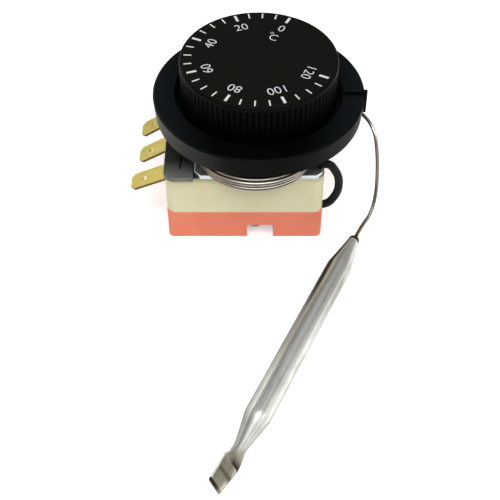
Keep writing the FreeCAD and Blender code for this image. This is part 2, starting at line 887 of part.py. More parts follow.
def contact_arm(name, y, level):
    """The stamped arm that carries a fixed contact under or over the moving one."""
    wide = size.arm_width / 2
    reach = sorted((y, as_size(0)), key=float)
    leg_left = blade_root - size.arm_inset
    low, high = sorted((level, tab_bottom), key=float)
    leg = box(name + "_leg", (leg_left, leg_left + size.tab), (y - wide, y + wide),
              (low, high + size.tab))
    along = box(name + "_along", (leg_left, contact_x + wide), (y - wide, y + wide),
                (level, level + size.tab))
    across = box(name + "_across", (contact_x - wide, contact_x + wide),
                 (reach[0] - wide, reach[1] + wide), (level, level + size.tab))
    return [leg, along, across]


lower_arm_top = contact_bottom - size.lower_contact
upper_contact_bottom = contact_top + size.upper_contact_gap
upper_arm_level = upper_contact_bottom + size.upper_contact


def make_terminals():
    inner = blade_root - size.arm_inset + size.tab
    front_y = -size.tab_pitch
    rear_y = size.tab_pitch
    front = fuse("terminal_front",
                 *tab("terminal_front", size.front_tab_length, front_y, size.front_tab_angle),
                 tab_strip("terminal_front_strip", front_y, inner),
                 *contact_arm("terminal_front_arm", front_y, lower_arm_top - size.tab))
    middle = fuse("terminal_middle",
                  *tab("terminal_middle", size.middle_tab_length, 0, size.middle_tab_angle),
                  tab_strip("terminal_middle_strip", 0, blade_root - size.blade_gap))
    rear = fuse("terminal_rear",
                *tab("terminal_rear", size.rear_tab_length, rear_y, size.rear_tab_angle),
                tab_strip("terminal_rear_strip", rear_y, inner),
                *contact_arm("terminal_rear_arm", rear_y, upper_arm_level))
    return [front, middle, rear]


def make_contact_blade():
    half = size.blade_width / 2
    tip_half = half * BLADE_TAPER
    leaf = padded("contact_blade_leaf", [
        (blade_root, -half), (contact_x, -half), (blade_tip, -tip_half),
        (blade_tip, tip_half), (contact_x, half), (blade_root, half)],
        blade_bottom, size.blade, [(size.contact_radius * RIVET_NECK, contact_x, 0)])
    edge = rod("contact_blade_root", size.blade / 2, size.blade_width,
               (blade_root, -half, blade_bottom + size.blade / 2), "y")
    return fuse("contact_blade", leaf, edge)


def make_moving_contact():
    disc = size.contact_radius
    neck = disc * RIVET_NECK
    face = disc * CONTACT_FACE
    crown = size.contact_crown
    body = turned("moving_contact", [
        (0, contact_bottom), (face, contact_bottom), (disc, contact_bottom + crown),
        (disc, blade_bottom), (neck, blade_bottom), (neck, tab_bottom), (disc, tab_bottom),
        (disc, contact_top - crown), (face, contact_top), (0, contact_top)])
    put(body, contact_x, 0, 0)
    return body


def fixed_contact(name, low, high, face_up):
    disc = size.contact_radius
    face = disc * CONTACT_FACE
    crown = size.contact_crown
    rim_low, rim_high = (disc, face) if face_up else (face, disc)
    body = turned(name, [
        (0, low), (rim_low, low), (disc, low + crown), (disc, high - crown), (rim_high, high),
        (0, high)])
    put(body, contact_x, 0, 0)
    return body


def make_switch_lever():
    half = size.lever_width / 2
    tip_half = half * LEVER_TAPER
    waist = lever_tip + size.lever_taper
    plate = padded("switch_lever_plate", [
        (lever_tip, -tip_half), (waist, -half), (lever_pivot, -half),
        (lever_pivot, half), (waist, half), (lever_tip, tip_half)],
        lever_level, size.lever)
    nub = rod("switch_lever_nub", size.nub_radius, blade_bottom - lever_level - size.seat_play,
              (lever_tip + size.nub_inset, 0, lever_level))
    barrel = rod("switch_lever_barrel", size.barrel_radius, size.lever_width,
                 (lever_pivot, -half, pivot_level), "y")
    bore = rod("switch_lever_bore", size.pivot_radius + size.running,
               size.lever_width + size.overrun * 2, (lever_pivot, -half - size.overrun, pivot_level), "y")
    return cut("switch_lever", fuse("switch_lever_solid", plate, nub, barrel), bore)


def make_lever_pin():
    return rod("lever_pin", size.pivot_radius, size.pivot_length,
               (lever_pivot, -size.pivot_length / 2, pivot_level), "y")


def make_push_pin():
    low = button_top + size.seat_gap
    high = lever_level - size.seat_gap
    bevel = size.lead_in
    side = size.push_pin_radius
    return turned("push_pin", [
        (0, low), (side - bevel, low), (side, low + bevel), (side, high - bevel),
        (side - bevel, high), (0, high)])


def make_adjusting_nut():
    disc = rod("adjusting_nut_disc", size.nut_radius, size.nut_height, (0, 0, nut_level))
    ears = box("adjusting_nut_ears", (-size.nut_tab / 2, size.nut_tab / 2),
               (-size.nut_reach, size.nut_reach), (nut_level, nut_level + size.nut_height))
    bore = rod("adjusting_nut_bore", size.thread_radius + size.running,
               size.nut_height + size.overrun * 2, (0, 0, nut_level - size.overrun))
    return cut("adjusting_nut", fuse("adjusting_nut_solid", disc, ears), bore)


def make_setting_spring():
    """A bowed leaf that stands on the lever and holds up the nut."""
    half = float(lever_pivot) * SPRING_SHARE
    leaf = float(size.spring_leaf)
    near = -float(size.spring_width) / 2
    low = float(lever_top + size.seat_gap)
    high = float(nut_level - size.seat_gap)
    outer = Part.Arc(FreeCAD.Vector(-half, near, low), FreeCAD.Vector(0, near, high),
                     FreeCAD.Vector(half, near, low)).toShape()
    inner = Part.Arc(FreeCAD.Vector(leaf - half, near, low), FreeCAD.Vector(0, near, high - leaf),
                     FreeCAD.Vector(half - leaf, near, low)).toShape()
    feet = [Part.LineSegment(FreeCAD.Vector(way * half, near, low),
                             FreeCAD.Vector(way * (half - leaf), near, low)).toShape()
            for way in (-1, 1)]
    section = Part.Face(Part.Wire(Part.sortEdges([outer, inner] + feet)[0]))
    item = doc.addObject("Part::Feature", "setting_spring")
    item.Shape = section.extrude(vector(0, size.spring_width))
    return item


# Sensing system

def rounded_path(name, route):
    """Straight runs joined by tangent arcs, as large as the shorter run beside each allows."""
    points = [FreeCAD.Vector(*point) for point in route]
    edges = []
    radii = []
    start = points[0]
    for before, corner, after in zip(points, points[1:], points[2:]):
        back = before - corner
        ahead = after - corner
        half_turn = (math.pi - back.getAngle(ahead)) / 2
        reach = ARC_SHARE * min(back.Length, ahead.Length)
        radii.append(reach / math.tan(half_turn))
        back.normalize()
        ahead.normalize()
        arc_start = corner + back * reach
        arc_end = corner + ahead * reach
        middle = (back + ahead).normalize()
        centre = corner + middle * (radii[-1] / math.cos(half_turn))
        edges.append(Part.LineSegment(start, arc_start).toShape())
        edges.append(Part.Arc(arc_start, centre - middle * radii[-1], arc_end).toShape())
        start = arc_end
    edges.append(Part.LineSegment(start, points[-1]).toShape())
    path = Part.Wire(edges)
    print("%s radii %s length %.1f" % (name, " ".join("%.1f" % r for r in radii), path.Length))
    return path


def tube(name, path, radius, bore=0.0):
    """A round tube along a path; its volume is compared with its section times its length."""
    def swept(size_of_round):
        pieces = []
        for edge in path.Edges:
            start = edge.firstVertex(True).Point
            along = edge.tangentAt(edge.FirstParameter)
            section = Part.Face(Part.Wire(Part.makeCircle(size_of_round, start, along)))
            if isinstance(edge.Curve, Part.Circle):
                turn = math.degrees(edge.Length / edge.Curve.Radius)
                pieces.append(section.revolve(edge.Curve.Center, edge.Curve.Axis, turn))
            else:
                pieces.append(section.extrude(along * edge.Length))
        return pieces[0].multiFuse(pieces[1:]).removeSplitter()

    shape = swept(float(radius))
    expected = math.pi * float(radius) ** 2
    if bore:
        shape = shape.cut(swept(float(bore)))
        expected -= math.pi * float(bore) ** 2
    print("%s volume over section times length %.4f" % (name, shape.Volume / (expected * path.Length)))
    item = doc.addObject("Part::Feature", name)
    item.Shape = shape
    return item


def make_diaphragm_capsule():
    rim = capsule_radius
    inset = rim - size.rim_bevel
    under = [(rim * share, capsule_bottom + size.ripple * rise) for share, rise in CAPSULE_UNDER]
    over = [(rim * share, capsule_top - size.ripple * rise) for share, rise in CAPSULE_OVER]
    return turned("diaphragm_capsule", [
        (0, ridge_top), (size.stud_radius, ridge_top), (size.stud_radius, capsule_bottom)]
        + under + [
        (inset, capsule_bottom), (rim, capsule_bottom + size.rim_bevel_height),
        (rim, capsule_top - size.rim_bevel_height), (inset, capsule_top)]
        + over + [
        (size.button_radius, capsule_top), (size.button_radius, button_top), (0, button_top)])


def sleeve_route():
    """The capillary's way out of the seam and round the edge of the bracket."""
    high = plate_top + size.sleeve_radius + size.seat_play
    middle = (seam + high) / 2
    out = body_right + size.sleeve_reach
    straight = body_right + size.sleeve_straight
    corners = [(body_right - size.sleeve_start, seam), (straight, seam),
               (out, middle - size.sleeve_bow), (out, middle + size.sleeve_bow),
               (straight, high), (body_right - size.sleeve_straight, high)]
    return [(float(x), float(sleeve_y), float(z)) for x, z in corners]


def make_capillary_inlet():
    rim = float(capsule_radius + size.rim_gap)
    angle = math.radians(INLET_ANGLE)
    start = (rim * math.cos(angle), rim * math.sin(angle), float(seam))
    bend = (float(body_right - size.inlet_inset), float(sleeve_y), float(seam))
    path = rounded_path("capillary_inlet", [start, bend] + sleeve_route()[1:])
    return tube("capillary_inlet", path, size.capillary_radius)


def make_capillary_sleeve():
    path = rounded_path("capillary_sleeve", sleeve_route())
    return tube("capillary_sleeve", path, size.sleeve_radius, size.sleeve_bore)


def oval(half_x, half_y, level):
    """A flat oval about the middle of the winding."""
    centre = vector(winding_x, winding_y, level)
    ends = [centre + vector(0, half_y), centre + vector(half_x, 0)]
    if float(half_x) > float(half_y):
        ends.reverse()
    return Part.Wire(Part.Ellipse(*ends, centre).toShape())


def make_capillary_coil():
    level = plate_top + size.winding_gap
    faces = []
    for inset in (0, size.winding_width):
        faces.append(Part.Face(oval(winding_half_x - inset, winding_half_y - inset, level)))
    item = doc.addObject("Part::Feature", "capillary_coil")
    item.Shape = faces[0].cut(faces[1]).extrude(vector(0, 0, size.winding_height))
    return item


def bulb_place():
    x = bezel_radius - size.bulb_inset
    y = body_front - size.bulb_front
    return FreeCAD.Placement(vector(x, y, size.bulb_radius),
                             FreeCAD.Rotation(Z_AXIS, HALF_TURN + float(size.bulb_angle)))


def make_capillary_lead():
    """From the top of the winding out past the bezel and down to the bulb on the floor."""
    entry = bulb_place().multVec(vector(-size.bulb_approach, 0))
    end = bulb_place().multVec(FreeCAD.Vector())
    across = float(bezel_radius)
    up = float(plate_top)
    route = [(across * x, across * y, up * z) for x, y, z in LEAD_CORNERS]
    return tube("capillary_lead", rounded_path("capillary_lead", route + [tuple(entry), tuple(end)]),
                size.capillary_radius)


def make_sensing_bulb():
    """Built along its own X axis from the capillary end, then laid on the floor."""
    radius = size.bulb_radius
    shoulder = size.bulb_shoulder
    barrel_end = shoulder + size.bulb_barrel
    neck = barrel_end + size.bulb_neck
    body = new_body("bulb_tube")
    sketch = new_sketch(body, "XY_Plane", "bulb_tube_section")
    outline(sketch, [
        (0, 0), (0, size.bulb_inlet_radius),
        (shoulder * BULB_COLLAR_END, size.bulb_inlet_radius + size.bulb_collar),
        (shoulder * BULB_CONE_END, radius - size.bulb_collar),
        (shoulder, radius), (barrel_end, radius),
        (barrel_end + size.bulb_end_bevel, radius - size.bulb_end_drop),
        (neck - size.bulb_neck_flare, size.bulb_neck_radius + size.bulb_neck_drop),
        (neck, size.bulb_neck_radius), (neck, 0)])
    feature = body.newObject("PartDesign::Revolution", "bulb_turned")
    feature.Profile = sketch
    feature.ReferenceAxis = (sketch, ["H_Axis"])
    feature.Angle = WHOLE_TURN
    doc.recompute()

    def section(place, width, thickness, shift=0.0):
        centre = FreeCAD.Vector(place, -shift, 0)
        long_end = centre + FreeCAD.Vector(0, width / 2, 0)
        short_end = centre + FreeCAD.Vector(0, 0, thickness / 2)
        return Part.Wire(Part.Ellipse(long_end, short_end, centre).toShape())

    root = float(neck - size.tail_root)
    length = float(size.tail_length)
    round_width = 2 * float(size.bulb_neck_radius) - float(size.press)
    width = float(size.tail_width)
    thickness = float(size.tail)
    rounds = [section(root, round_width, round_width - float(size.running))]
    for share, wide, thick, shift in TAIL_PINCH:
        rounds.append(section(float(neck) + length * share, width * wide, thickness * thick,
                              width * shift))
    end = FreeCAD.Vector(float(neck) + length, -width * TAIL_END_SHIFT, 0)
    skew = float(size.tail_skew)
    end_width = float(size.tail_end_width)
    rounds.append(section(end.x + skew, end_width, thickness, -end.y))
    block = Part.makeBox(width * 2, width * 4, width * 2, FreeCAD.Vector(0, -width * 2, -width))
    slant = FreeCAD.Rotation(Z_AXIS, -math.degrees(math.atan2(skew, end_width)))
    block.Placement = FreeCAD.Placement(end, slant).multiply(block.Placement)
    tail = Part.makeLoft(rounds, True, False).cut(block)
    item = doc.addObject("Part::Feature", "sensing_bulb")
    item.Shape = body.Tip.Shape.fuse(tail).removeSplitter()
    item.Placement = bulb_place()
    return item


def main():
    nodes = {}

    def keep(item):
        nodes[item.Name] = item

    keep(make_knob())
    keep(make_knob_clip())
    keep(make_spindle())
    keep(make_spindle_circlip())
    keep(make_bezel())
    for screw in make_screws():
        keep(screw)
    keep(make_bracket())
    keep(make_spindle_bush())
    keep(make_terminal_cover())
    keep(make_upper_housing())
    keep(make_base_cover())
    for terminal in make_terminals():
        keep(terminal)
    keep(make_contact_blade())
    keep(make_moving_contact())
    keep(fixed_contact("fixed_contact_lower", lower_arm_top, contact_bottom - size.seat_gap, True))
    keep(fixed_contact("fixed_contact_upper", upper_contact_bottom, upper_arm_level, False))
    keep(make_switch_lever())
    keep(make_lever_pin())
    keep(make_push_pin())
    keep(make_adjusting_nut())
    keep(make_setting_spring())
    keep(make_diaphragm_capsule())
    keep(make_capillary_inlet())
    keep(make_capillary_sleeve())
    keep(make_capillary_coil())
    keep(make_capillary_lead())
    keep(make_sensing_bulb())
    doc.recompute()

    for item in doc.Objects:
        if "Invalid" in item.State or "Error" in item.State:
            raise RuntimeError("%s failed to build: %s" % (item.Name, item.State))
    os.makedirs("parts", exist_ok=True)
    for name, item in nodes.items():
        item.Label = name
        shape = item.Shape
        if shape.isNull() or not shape.isValid() or not shape.Solids:
            raise RuntimeError("%s is not a sound solid" % name)
    for name, item in nodes.items():
        item.Shape.exportStep("parts/%s.step" % name)
        print("%-22s solids %d volume %.1f" % (name, len(item.Shape.Solids), item.Shape.Volume))


main()
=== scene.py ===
import bmesh
import bpy
import math
from mathutils import Matrix, Vector


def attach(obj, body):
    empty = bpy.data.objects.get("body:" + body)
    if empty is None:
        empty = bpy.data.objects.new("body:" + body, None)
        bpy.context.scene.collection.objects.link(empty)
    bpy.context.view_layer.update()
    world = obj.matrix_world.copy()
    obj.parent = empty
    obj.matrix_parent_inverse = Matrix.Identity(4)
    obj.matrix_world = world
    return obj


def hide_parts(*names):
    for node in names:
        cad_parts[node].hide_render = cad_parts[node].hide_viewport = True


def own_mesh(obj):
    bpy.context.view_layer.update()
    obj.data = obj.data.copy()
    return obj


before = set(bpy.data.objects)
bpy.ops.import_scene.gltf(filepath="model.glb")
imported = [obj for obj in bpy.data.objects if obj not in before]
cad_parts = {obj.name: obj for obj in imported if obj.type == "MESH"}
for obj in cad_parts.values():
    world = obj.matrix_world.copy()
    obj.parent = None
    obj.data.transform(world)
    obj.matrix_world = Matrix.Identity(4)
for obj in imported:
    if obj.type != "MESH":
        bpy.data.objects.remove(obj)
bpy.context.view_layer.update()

MM = 0.001
TURN = 2 * math.pi


def mm(*values):
    """A point or size in millimetres, given back in metres."""
    return Vector([value * MM for value in values])


def lerp(low, high, share):
    """The value a share of the way from low to high."""
    return low + (high - low) * share


def ease(share):
    """A share held between 0 and 1 that starts and ends gently."""
    share = min(max(share, 0.0), 1.0)
    return share * share * (3 - 2 * share)


# Camera, at the photograph's angle

CAMERA_PLACE = mm(-2.47, -230.1, 220.1)
CAMERA_TILT = math.radians(42.6)
CAMERA_LENS = 73.31
CAMERA_SENSOR = 36.0
CAMERA_NEAR = 0.005
CAMERA_FAR = 20.0

camera = bpy.data.objects.new("camera", bpy.data.cameras.new("camera"))
camera.data.lens = CAMERA_LENS
camera.data.sensor_width = CAMERA_SENSOR
camera.data.clip_start = CAMERA_NEAR
camera.data.clip_end = CAMERA_FAR
camera.location = CAMERA_PLACE
camera.rotation_euler = (CAMERA_TILT, 0, 0)
bpy.context.scene.collection.objects.link(camera)
bpy.context.scene.camera = camera


# Finishes

GRAIN = 2600.0
GRAIN_DEPTH = 0.00001
HANDLING = 160.0


class Finish:
    """A node material that is built up from its shader outward."""

    def __init__(self, name, roughness, metallic=0.0, **sockets):
        self.material = bpy.data.materials.new(name)
        self.material.use_nodes = True
        self.tree = self.material.node_tree
        self.shader = self.tree.nodes["Principled BSDF"]
        self.shader.inputs["Roughness"].default_value = roughness
        self.shader.inputs["Metallic"].default_value = metallic
        for socket, value in sockets.items():
            self.shader.inputs[socket.replace("_", " ")].default_value = value
        self.coordinates = self.tree.nodes.new("ShaderNodeTexCoord")
        self.places = self.coordinates.outputs["Object"]

    def link(self, source, target):
        self.tree.links.new(source, target)

    def stretched(self, stretch, turn=0.0):
        """Object coordinates, turned about Z and scaled along each axis."""
        mapping = self.tree.nodes.new("ShaderNodeMapping")
        mapping.vector_type = "TEXTURE"
        mapping.inputs["Scale"].default_value = [1 / value for value in stretch]
        mapping.inputs["Rotation"].default_value = (0, 0, turn)
        self.link(self.places, mapping.inputs["Vector"])
        return mapping.outputs["Vector"]

    def noise(self, scale, detail=3.0, roughness=0.5, stretch=None, turn=0.0, distortion=0.0):
        """Random tone between 0 and 1; a larger scale makes finer marks."""
        node = self.tree.nodes.new("ShaderNodeTexNoise")
        node.inputs["Scale"].default_value = scale
        node.inputs["Detail"].default_value = detail
        node.inputs["Roughness"].default_value = roughness
        node.inputs["Distortion"].default_value = distortion
        self.link(self.stretched(stretch, turn) if stretch else self.places, node.inputs["Vector"])
        return node.outputs["Fac"]

    def spread(self, source, low, high, to_low=0.0, to_high=1.0):
        """A value moved from one range to another and held there."""
        node = self.tree.nodes.new("ShaderNodeMapRange")
        node.clamp = True
        for socket, value in zip(("From Min", "From Max", "To Min", "To Max"),
                                 (low, high, to_low, to_high)):
            node.inputs[socket].default_value = value
        self.link(source, node.inputs["Value"])
        return node.outputs["Result"]

    def sum(self, one, other, kind="ADD"):
        """Two values taken together; each is a socket or a plain number."""
        node = self.tree.nodes.new("ShaderNodeMath")
        node.operation = kind
        for place, value in enumerate((one, other)):
            if isinstance(value, (int, float)):
                node.inputs[place].default_value = value
            else:
                self.link(value, node.inputs[place])
        return node.outputs["Value"]

    def axis(self, name):
        """A point's X, Y or Z, in metres."""
        node = self.tree.nodes.new("ShaderNodeSeparateXYZ")
        self.link(self.places, node.inputs["Vector"])
        return node.outputs[name]

    def toward(self, *direction):
        """How far a face looks along a direction: 1 straight along it, -1 away from it."""
        node = self.tree.nodes.new("ShaderNodeVectorMath")
        node.operation = "DOT_PRODUCT"
        node.inputs[1].default_value = direction
        self.link(self.coordinates.outputs["Normal"], node.inputs[0])
        return node.outputs["Value"]

    def reach(self, *direction):
        """How far a point lies along a direction, in metres."""
        node = self.tree.nodes.new("ShaderNodeVectorMath")
        node.operation = "DOT_PRODUCT"
        node.inputs[1].default_value = direction
        self.link(self.places, node.inputs[0])
        return node.outputs["Value"]

    def level(self):
        """1 on faces that lie flat, 0 on steep ones."""
        return self.spread(self.away(self.toward(0, 0, 1)), 0.85, 0.99)

    def away(self, source):
        """How far a value lies from zero, on either side."""
        return self.sum(source, 0.0, "ABSOLUTE")

    def either(self, one, other):
        return self.sum(one, other, "MAXIMUM")

    def both(self, one, other):
        return self.sum(one, other, "MULTIPLY")

    def blended(self, *parts):
        """Tones added up by their shares."""
        total = self.both(*parts[0])
        for tone, share in parts[1:]:
            total = self.sum(total, self.both(tone, share))
        return total

    def band(self, source, rise, fall, most=1.0):
        """A stripe that comes in over one range of the source and goes out over another."""
        return self.both(self.spread(source, *rise), self.spread(source, *fall, 0.0, most))

    def ramp(self, source, stops):
        """Colours laid along a value, each at its own place from 0 to 1."""
        node = self.tree.nodes.new("ShaderNodeValToRGB")
        elements = node.color_ramp.elements
        while len(elements) < len(stops):
            elements.new(0.5)
        for element, (place, colour) in zip(elements, stops):
            element.position = place
            element.color = (*colour, 1.0)
        self.link(source, node.inputs["Fac"])
        return node.outputs["Color"]

    def mix(self, share, one, other):
        """Two colours mixed by a share; each is a socket or a plain colour."""
        node = self.tree.nodes.new("ShaderNodeMix")
        node.data_type = "RGBA"
        self.link(share, node.inputs["Factor"])
        for socket, value in (("A", one), ("B", other)):
            target = [item for item in node.inputs if item.name == socket and item.type == "RGBA"][0]
            if isinstance(value, tuple):
                target.default_value = (*value, 1.0)
            else:
                self.link(value, target)
        return [item for item in node.outputs if item.type == "RGBA"][0]

    def colour(self, source):
        self.link(source, self.shader.inputs["Base Color"])
        return self

    def bare(self, covered):
        """Metal where nothing covers it, and a dull skin such as oxide where something does."""
        self.link(self.spread(covered, 0.0, 1.0, 1.0, 0.1), self.shader.inputs["Metallic"])
        return self

    def rough(self, source):
        self.link(source, self.shader.inputs["Roughness"])
        return self

    def handled(self, least, most):
        """Gloss worn unevenly by handling, between two roughnesses."""
        return self.rough(self.spread(self.noise(HANDLING, 5.0, 0.65), 0.3, 0.7, least, most))

    def bump(self, source, depth):
        """Relief of a depth in metres, laid over any relief that is there already."""
        node = self.tree.nodes.new("ShaderNodeBump")
        node.inputs["Distance"].default_value = depth
        before = self.shader.inputs["Normal"]
        if before.is_linked:
            self.link(before.links[0].from_socket, node.inputs["Normal"])
        self.link(source, node.inputs["Height"])
        self.link(node.outputs["Normal"], before)
        return self

    def grained(self):
        """The fine grain of a moulded face."""
        return self.bump(self.noise(GRAIN, 2.0), GRAIN_DEPTH)


def moulded(name, dark, light, roughness, clouds=45.0, **sockets):
    """Moulded plastic: soft clouds of tone, a fine grain and a little wear in the gloss."""
    finish = Finish(name, roughness, **sockets)
    cloud = finish.noise(clouds, 4.0, 0.6)
    finish.colour(finish.ramp(cloud, [(0.3, dark), (0.7, light)]))
    return finish.handled(roughness - 0.07, roughness + 0.09).grained()


METAL_GRAIN = 900.0
METAL_GRAIN_DEPTH = 0.000004
METAL_CLOUDS = 70.0


def metal(name, dark, light, roughness):
    """Bare or plated metal: a fine grain, clouds of tone and uneven gloss."""
    finish = Finish(name, roughness, 1.0)
    fine = finish.noise(METAL_GRAIN, 5.0, 0.6)
    tone = finish.blended((fine, 0.6), (finish.noise(METAL_CLOUDS, 3.0), 0.4))
    finish.colour(finish.ramp(tone, [(0.3, dark), (0.68, light)]))
    finish.rough(finish.spread(fine, 0.3, 0.7, roughness - 0.08, roughness + 0.1))
    return finish.bump(fine, METAL_GRAIN_DEPTH)


def knob_finish():
    """Black moulding, with painted shade that makes its ribbed side darker than its face."""
    finish = Finish("knob_black", 0.46, Specular_IOR_Level=0.05)
    face = finish.ramp(finish.noise(45.0, 4.0, 0.6), [(0.3, (0.0040, 0.0041, 0.0027)),
                                                      (0.7, (0.0056, 0.0058, 0.0041))])
    # Painted shade: steep faces, the ribbed side, take a darker colour than the flat face
    finish.colour(finish.mix(finish.level(), (0.0007, 0.0007, 0.0007), face))
    return finish.handled(0.4, 0.55).grained()


# Painted reflection on the flat top: where it starts and where it is full, in metres to each side of the
# middle
RIM_PAINTED_REFLECTION = (0.012, 0.030)
LEFT_FRONT = (-0.94, -0.34, 0)


def bezel_finish():
    """Blue-black moulding, with painted reflection that makes its left wall and both sides of its rim
    paler.
    """
    finish = Finish("bezel_black", 0.42, Specular_IOR_Level=0.03)
    middle = finish.ramp(finish.noise(45.0, 4.0, 0.6), [(0.3, (0.0006, 0.0009, 0.0008)),
                                                        (0.7, (0.0012, 0.0015, 0.0014))])
    # Painted reflection: the flat top grows paler towards both sides
    rim_reflection = finish.spread(finish.away(finish.axis("X")), *RIM_PAINTED_REFLECTION)
    flat = finish.mix(rim_reflection, middle, (0.0055, 0.0078, 0.0088))
    # Painted reflection: the wall grows paler where it faces left and forward
    wall_reflection = finish.spread(finish.toward(*LEFT_FRONT), 0.6, 0.98)
    wall = finish.mix(wall_reflection, (0.0024, 0.0024, 0.0018), (0.040, 0.040, 0.036))
    finish.colour(finish.mix(finish.level(), wall, flat))
    return finish.handled(0.34, 0.48).grained()


BOARD_SHADED = (-0.0226, -0.0165)


def board_finish():
    """Matt grey board, with painted shade that darkens it from its front edge inward, and paler cut
    edges.
    """
    finish = Finish("cover_grey", 0.6, Specular_IOR_Level=0.3)
    face = finish.ramp(finish.noise(120.0, 4.0, 0.6, (1, 0.3, 1)), [(0.3, (0.082, 0.086, 0.077)),
                                                                   (0.7, (0.108, 0.112, 0.102))])
    # Painted shade, deepening from the front edge inward
    inward = finish.spread(finish.axis("Y"), *BOARD_SHADED)
    face = finish.mix(inward, face, (0.0125, 0.0135, 0.0115))
    edge = finish.ramp(finish.noise(400.0, 3.0), [(0.3, (0.105, 0.11, 0.092)),
                                                  (0.7, (0.155, 0.16, 0.14))])
    finish.colour(finish.mix(finish.level(), edge, face))
    return finish.bump(finish.noise(2200.0, 3.0), 0.00001)


# Heights of the brown top edge, partly stain and partly painted shade, and of the painted shade where
# plates cover the top
STAIN_AND_SHADE = (0.0218, 0.0239)
LIDDED_SHADE = (0.0235, 0.0237)


def cream_finish():
    """Cream moulding, faintly specked, browned along its top edge partly by stain and partly by painted
    shade under the plates and the coil, and darkened by painted shade where plates cover its top.
    """
    finish = Finish("housing_cream", 0.62, Specular_IOR_Level=0.35)
    base = finish.ramp(finish.noise(60.0, 5.0, 0.6), [(0.32, (0.635, 0.590, 0.375)),
                                                      (0.68, (0.690, 0.645, 0.420))])
    # Partly a brown stain, partly painted shade under the plates and the coil, along the top edge
    near_top = finish.spread(finish.axis("Z"), *STAIN_AND_SHADE, 0.0, 0.85)
    blots = finish.spread(finish.noise(230.0, 4.0, 0.6, (0.45, 0.45, 1)), 0.37, 0.54)
    stained_and_shaded = finish.mix(finish.both(near_top, blots), base, (0.24, 0.185, 0.07))
    # Painted shade on the top face where plates cover it
    shaded_under_plates = finish.both(finish.level(), finish.spread(finish.axis("Z"), *LIDDED_SHADE))
    plate_shaded = finish.mix(shaded_under_plates, stained_and_shaded, (0.012, 0.012, 0.010))
    specks = finish.spread(finish.noise(950.0, 2.0), 0.72, 0.76, 0.0, 0.12)
    finish.colour(finish.mix(specks, plate_shaded, (0.24, 0.20, 0.12)))
    finish.rough(finish.spread(finish.noise(140.0, 4.0), 0.3, 0.7, 0.52, 0.70))
    finish.bump(finish.noise(420.0, 3.0), 0.00003)
    return finish.bump(finish.noise(2800.0, 2.0), 0.00001)


def orange_finish():
    """Orange moulding with paler flow clouds and a dusty bloom."""
    finish = Finish("base_orange", 0.58, Specular_IOR_Level=0.35)
    base = finish.ramp(finish.noise(75.0, 5.0, 0.62, None, 0.0, 0.6),
                       [(0.3, (0.700, 0.178, 0.100)), (0.7, (0.770, 0.218, 0.132))])
    bloom = finish.spread(finish.noise(300.0, 4.0, 0.6), 0.60, 0.74, 0.0, 0.4)
    finish.colour(finish.mix(bloom, base, (0.82, 0.30, 0.21)))
    finish.rough(finish.spread(finish.noise(150.0, 4.0), 0.3, 0.7, 0.50, 0.66))
    finish.bump(finish.noise(420.0, 3.0), 0.00003)
    return finish.grained()


LEFT_TURNS_X = (-0.0050, -0.0135)
LEFT_TURNS_Z = (0.0240, 0.0250)
LEAD_DULL_Z = (0.020, 0.008)
LEAD_END_Y = (-0.0200, -0.0218)
LEAD_END_Z = (0.0060, 0.0040)


def capillary_finish():
    """Bright drawn tube, with painted shade that turns its sides and underside dark brown, brown on its
    left turns and heat-tinted next to the bulb.
    """
    finish = Finish("capillary_copper", 0.3, 1.0, Specular_Tint=(0.25, 0.2, 0.16, 1.0))
    tarnish = finish.noise(70.0, 3.0, 0.5)
    bright = finish.ramp(tarnish, [(0.32, (0.47, 0.425, 0.37)), (0.5, (0.60, 0.56, 0.51)),
                                   (0.68, (0.74, 0.71, 0.67))])
    # Painted shade: faces that look sideways or down take a dark brown
    upward = finish.spread(finish.toward(0, 0, 1), 0.1, 0.7)
    base = finish.mix(upward, (0.055, 0.040, 0.027), bright)
    level = finish.axis("Z")
    left_turns = finish.both(finish.spread(finish.axis("X"), *LEFT_TURNS_X, 0.0, 0.75),
                             finish.spread(level, *LEFT_TURNS_Z))
    base = finish.mix(left_turns, base, (0.24, 0.19, 0.145))
    dulled = finish.mix(finish.spread(level, *LEAD_DULL_Z), base, (0.19, 0.178, 0.165))
    beside_bulb = finish.spread(finish.axis("Y"), *LEAD_END_Y)
    low = finish.spread(level, *LEAD_END_Z)
    finish.colour(finish.mix(finish.both(low, beside_bulb), dulled, (0.30, 0.235, 0.15)))
    finish.rough(finish.spread(tarnish, 0.35, 0.7, 0.36, 0.26))
    return finish.bump(finish.noise(900.0, 2.0), 0.000002)


BULB_TURN = math.radians(64.9)
BULB_TOP = (27.9, -26.8, 3.5)
BULB_WAY = (-math.cos(BULB_TURN), -math.sin(BULB_TURN), 0)
BULB_SIDE = (math.sin(BULB_TURN), -math.cos(BULB_TURN), 0)
TAIL_SLANT = 0.62

# Where the bulb's marks start and end, in metres along it, along its slanted tail or across it

COLLAR = (0.0015, 0.0008)
MOUTH_PALE = (0.014, 0.004)
HEAT = (0.056, 0.022)
LEFT_PAINTED_REFLECTION_START = (0.030, 0.050)
NECK = (0.0665, 0.0710)
TAIL = (0.0775, 0.0800)
# Painted shadow under the fold, painted shade in the crease and a painted highlight on the lip
FOLD_SHADOW = ((0.0788, 0.0819), (0.0829, 0.0822))
FOLD_SHADOW_ACROSS = (-0.0018, 0.0006)
CREASE_SHADE = ((0.0839, 0.0854), (0.0872, 0.0858))
CREASE_SHADE_ACROSS = (-0.0031, -0.0018)
LIP_HIGHLIGHT = (0.0822, 0.0830)
LIP_HIGHLIGHT_ACROSS = (-0.0022, -0.0025)
TIP = (0.08935, 0.08945)
TIP_ACROSS = (0.0012, -0.0004)
BROWN = (0.035, 0.024, 0.014)

# How far a face looks to the bulb's right, where painted reflection makes it duller or where it is
# browned

RIGHT_PAINTED_REFLECTION = ((0.25, 0.50), (0.92, 0.70))
LEFT_PAINTED_REFLECTION = ((-0.08, -0.22), (-0.95, -0.80))
LEFT_SIDE = (-0.24, -0.52)


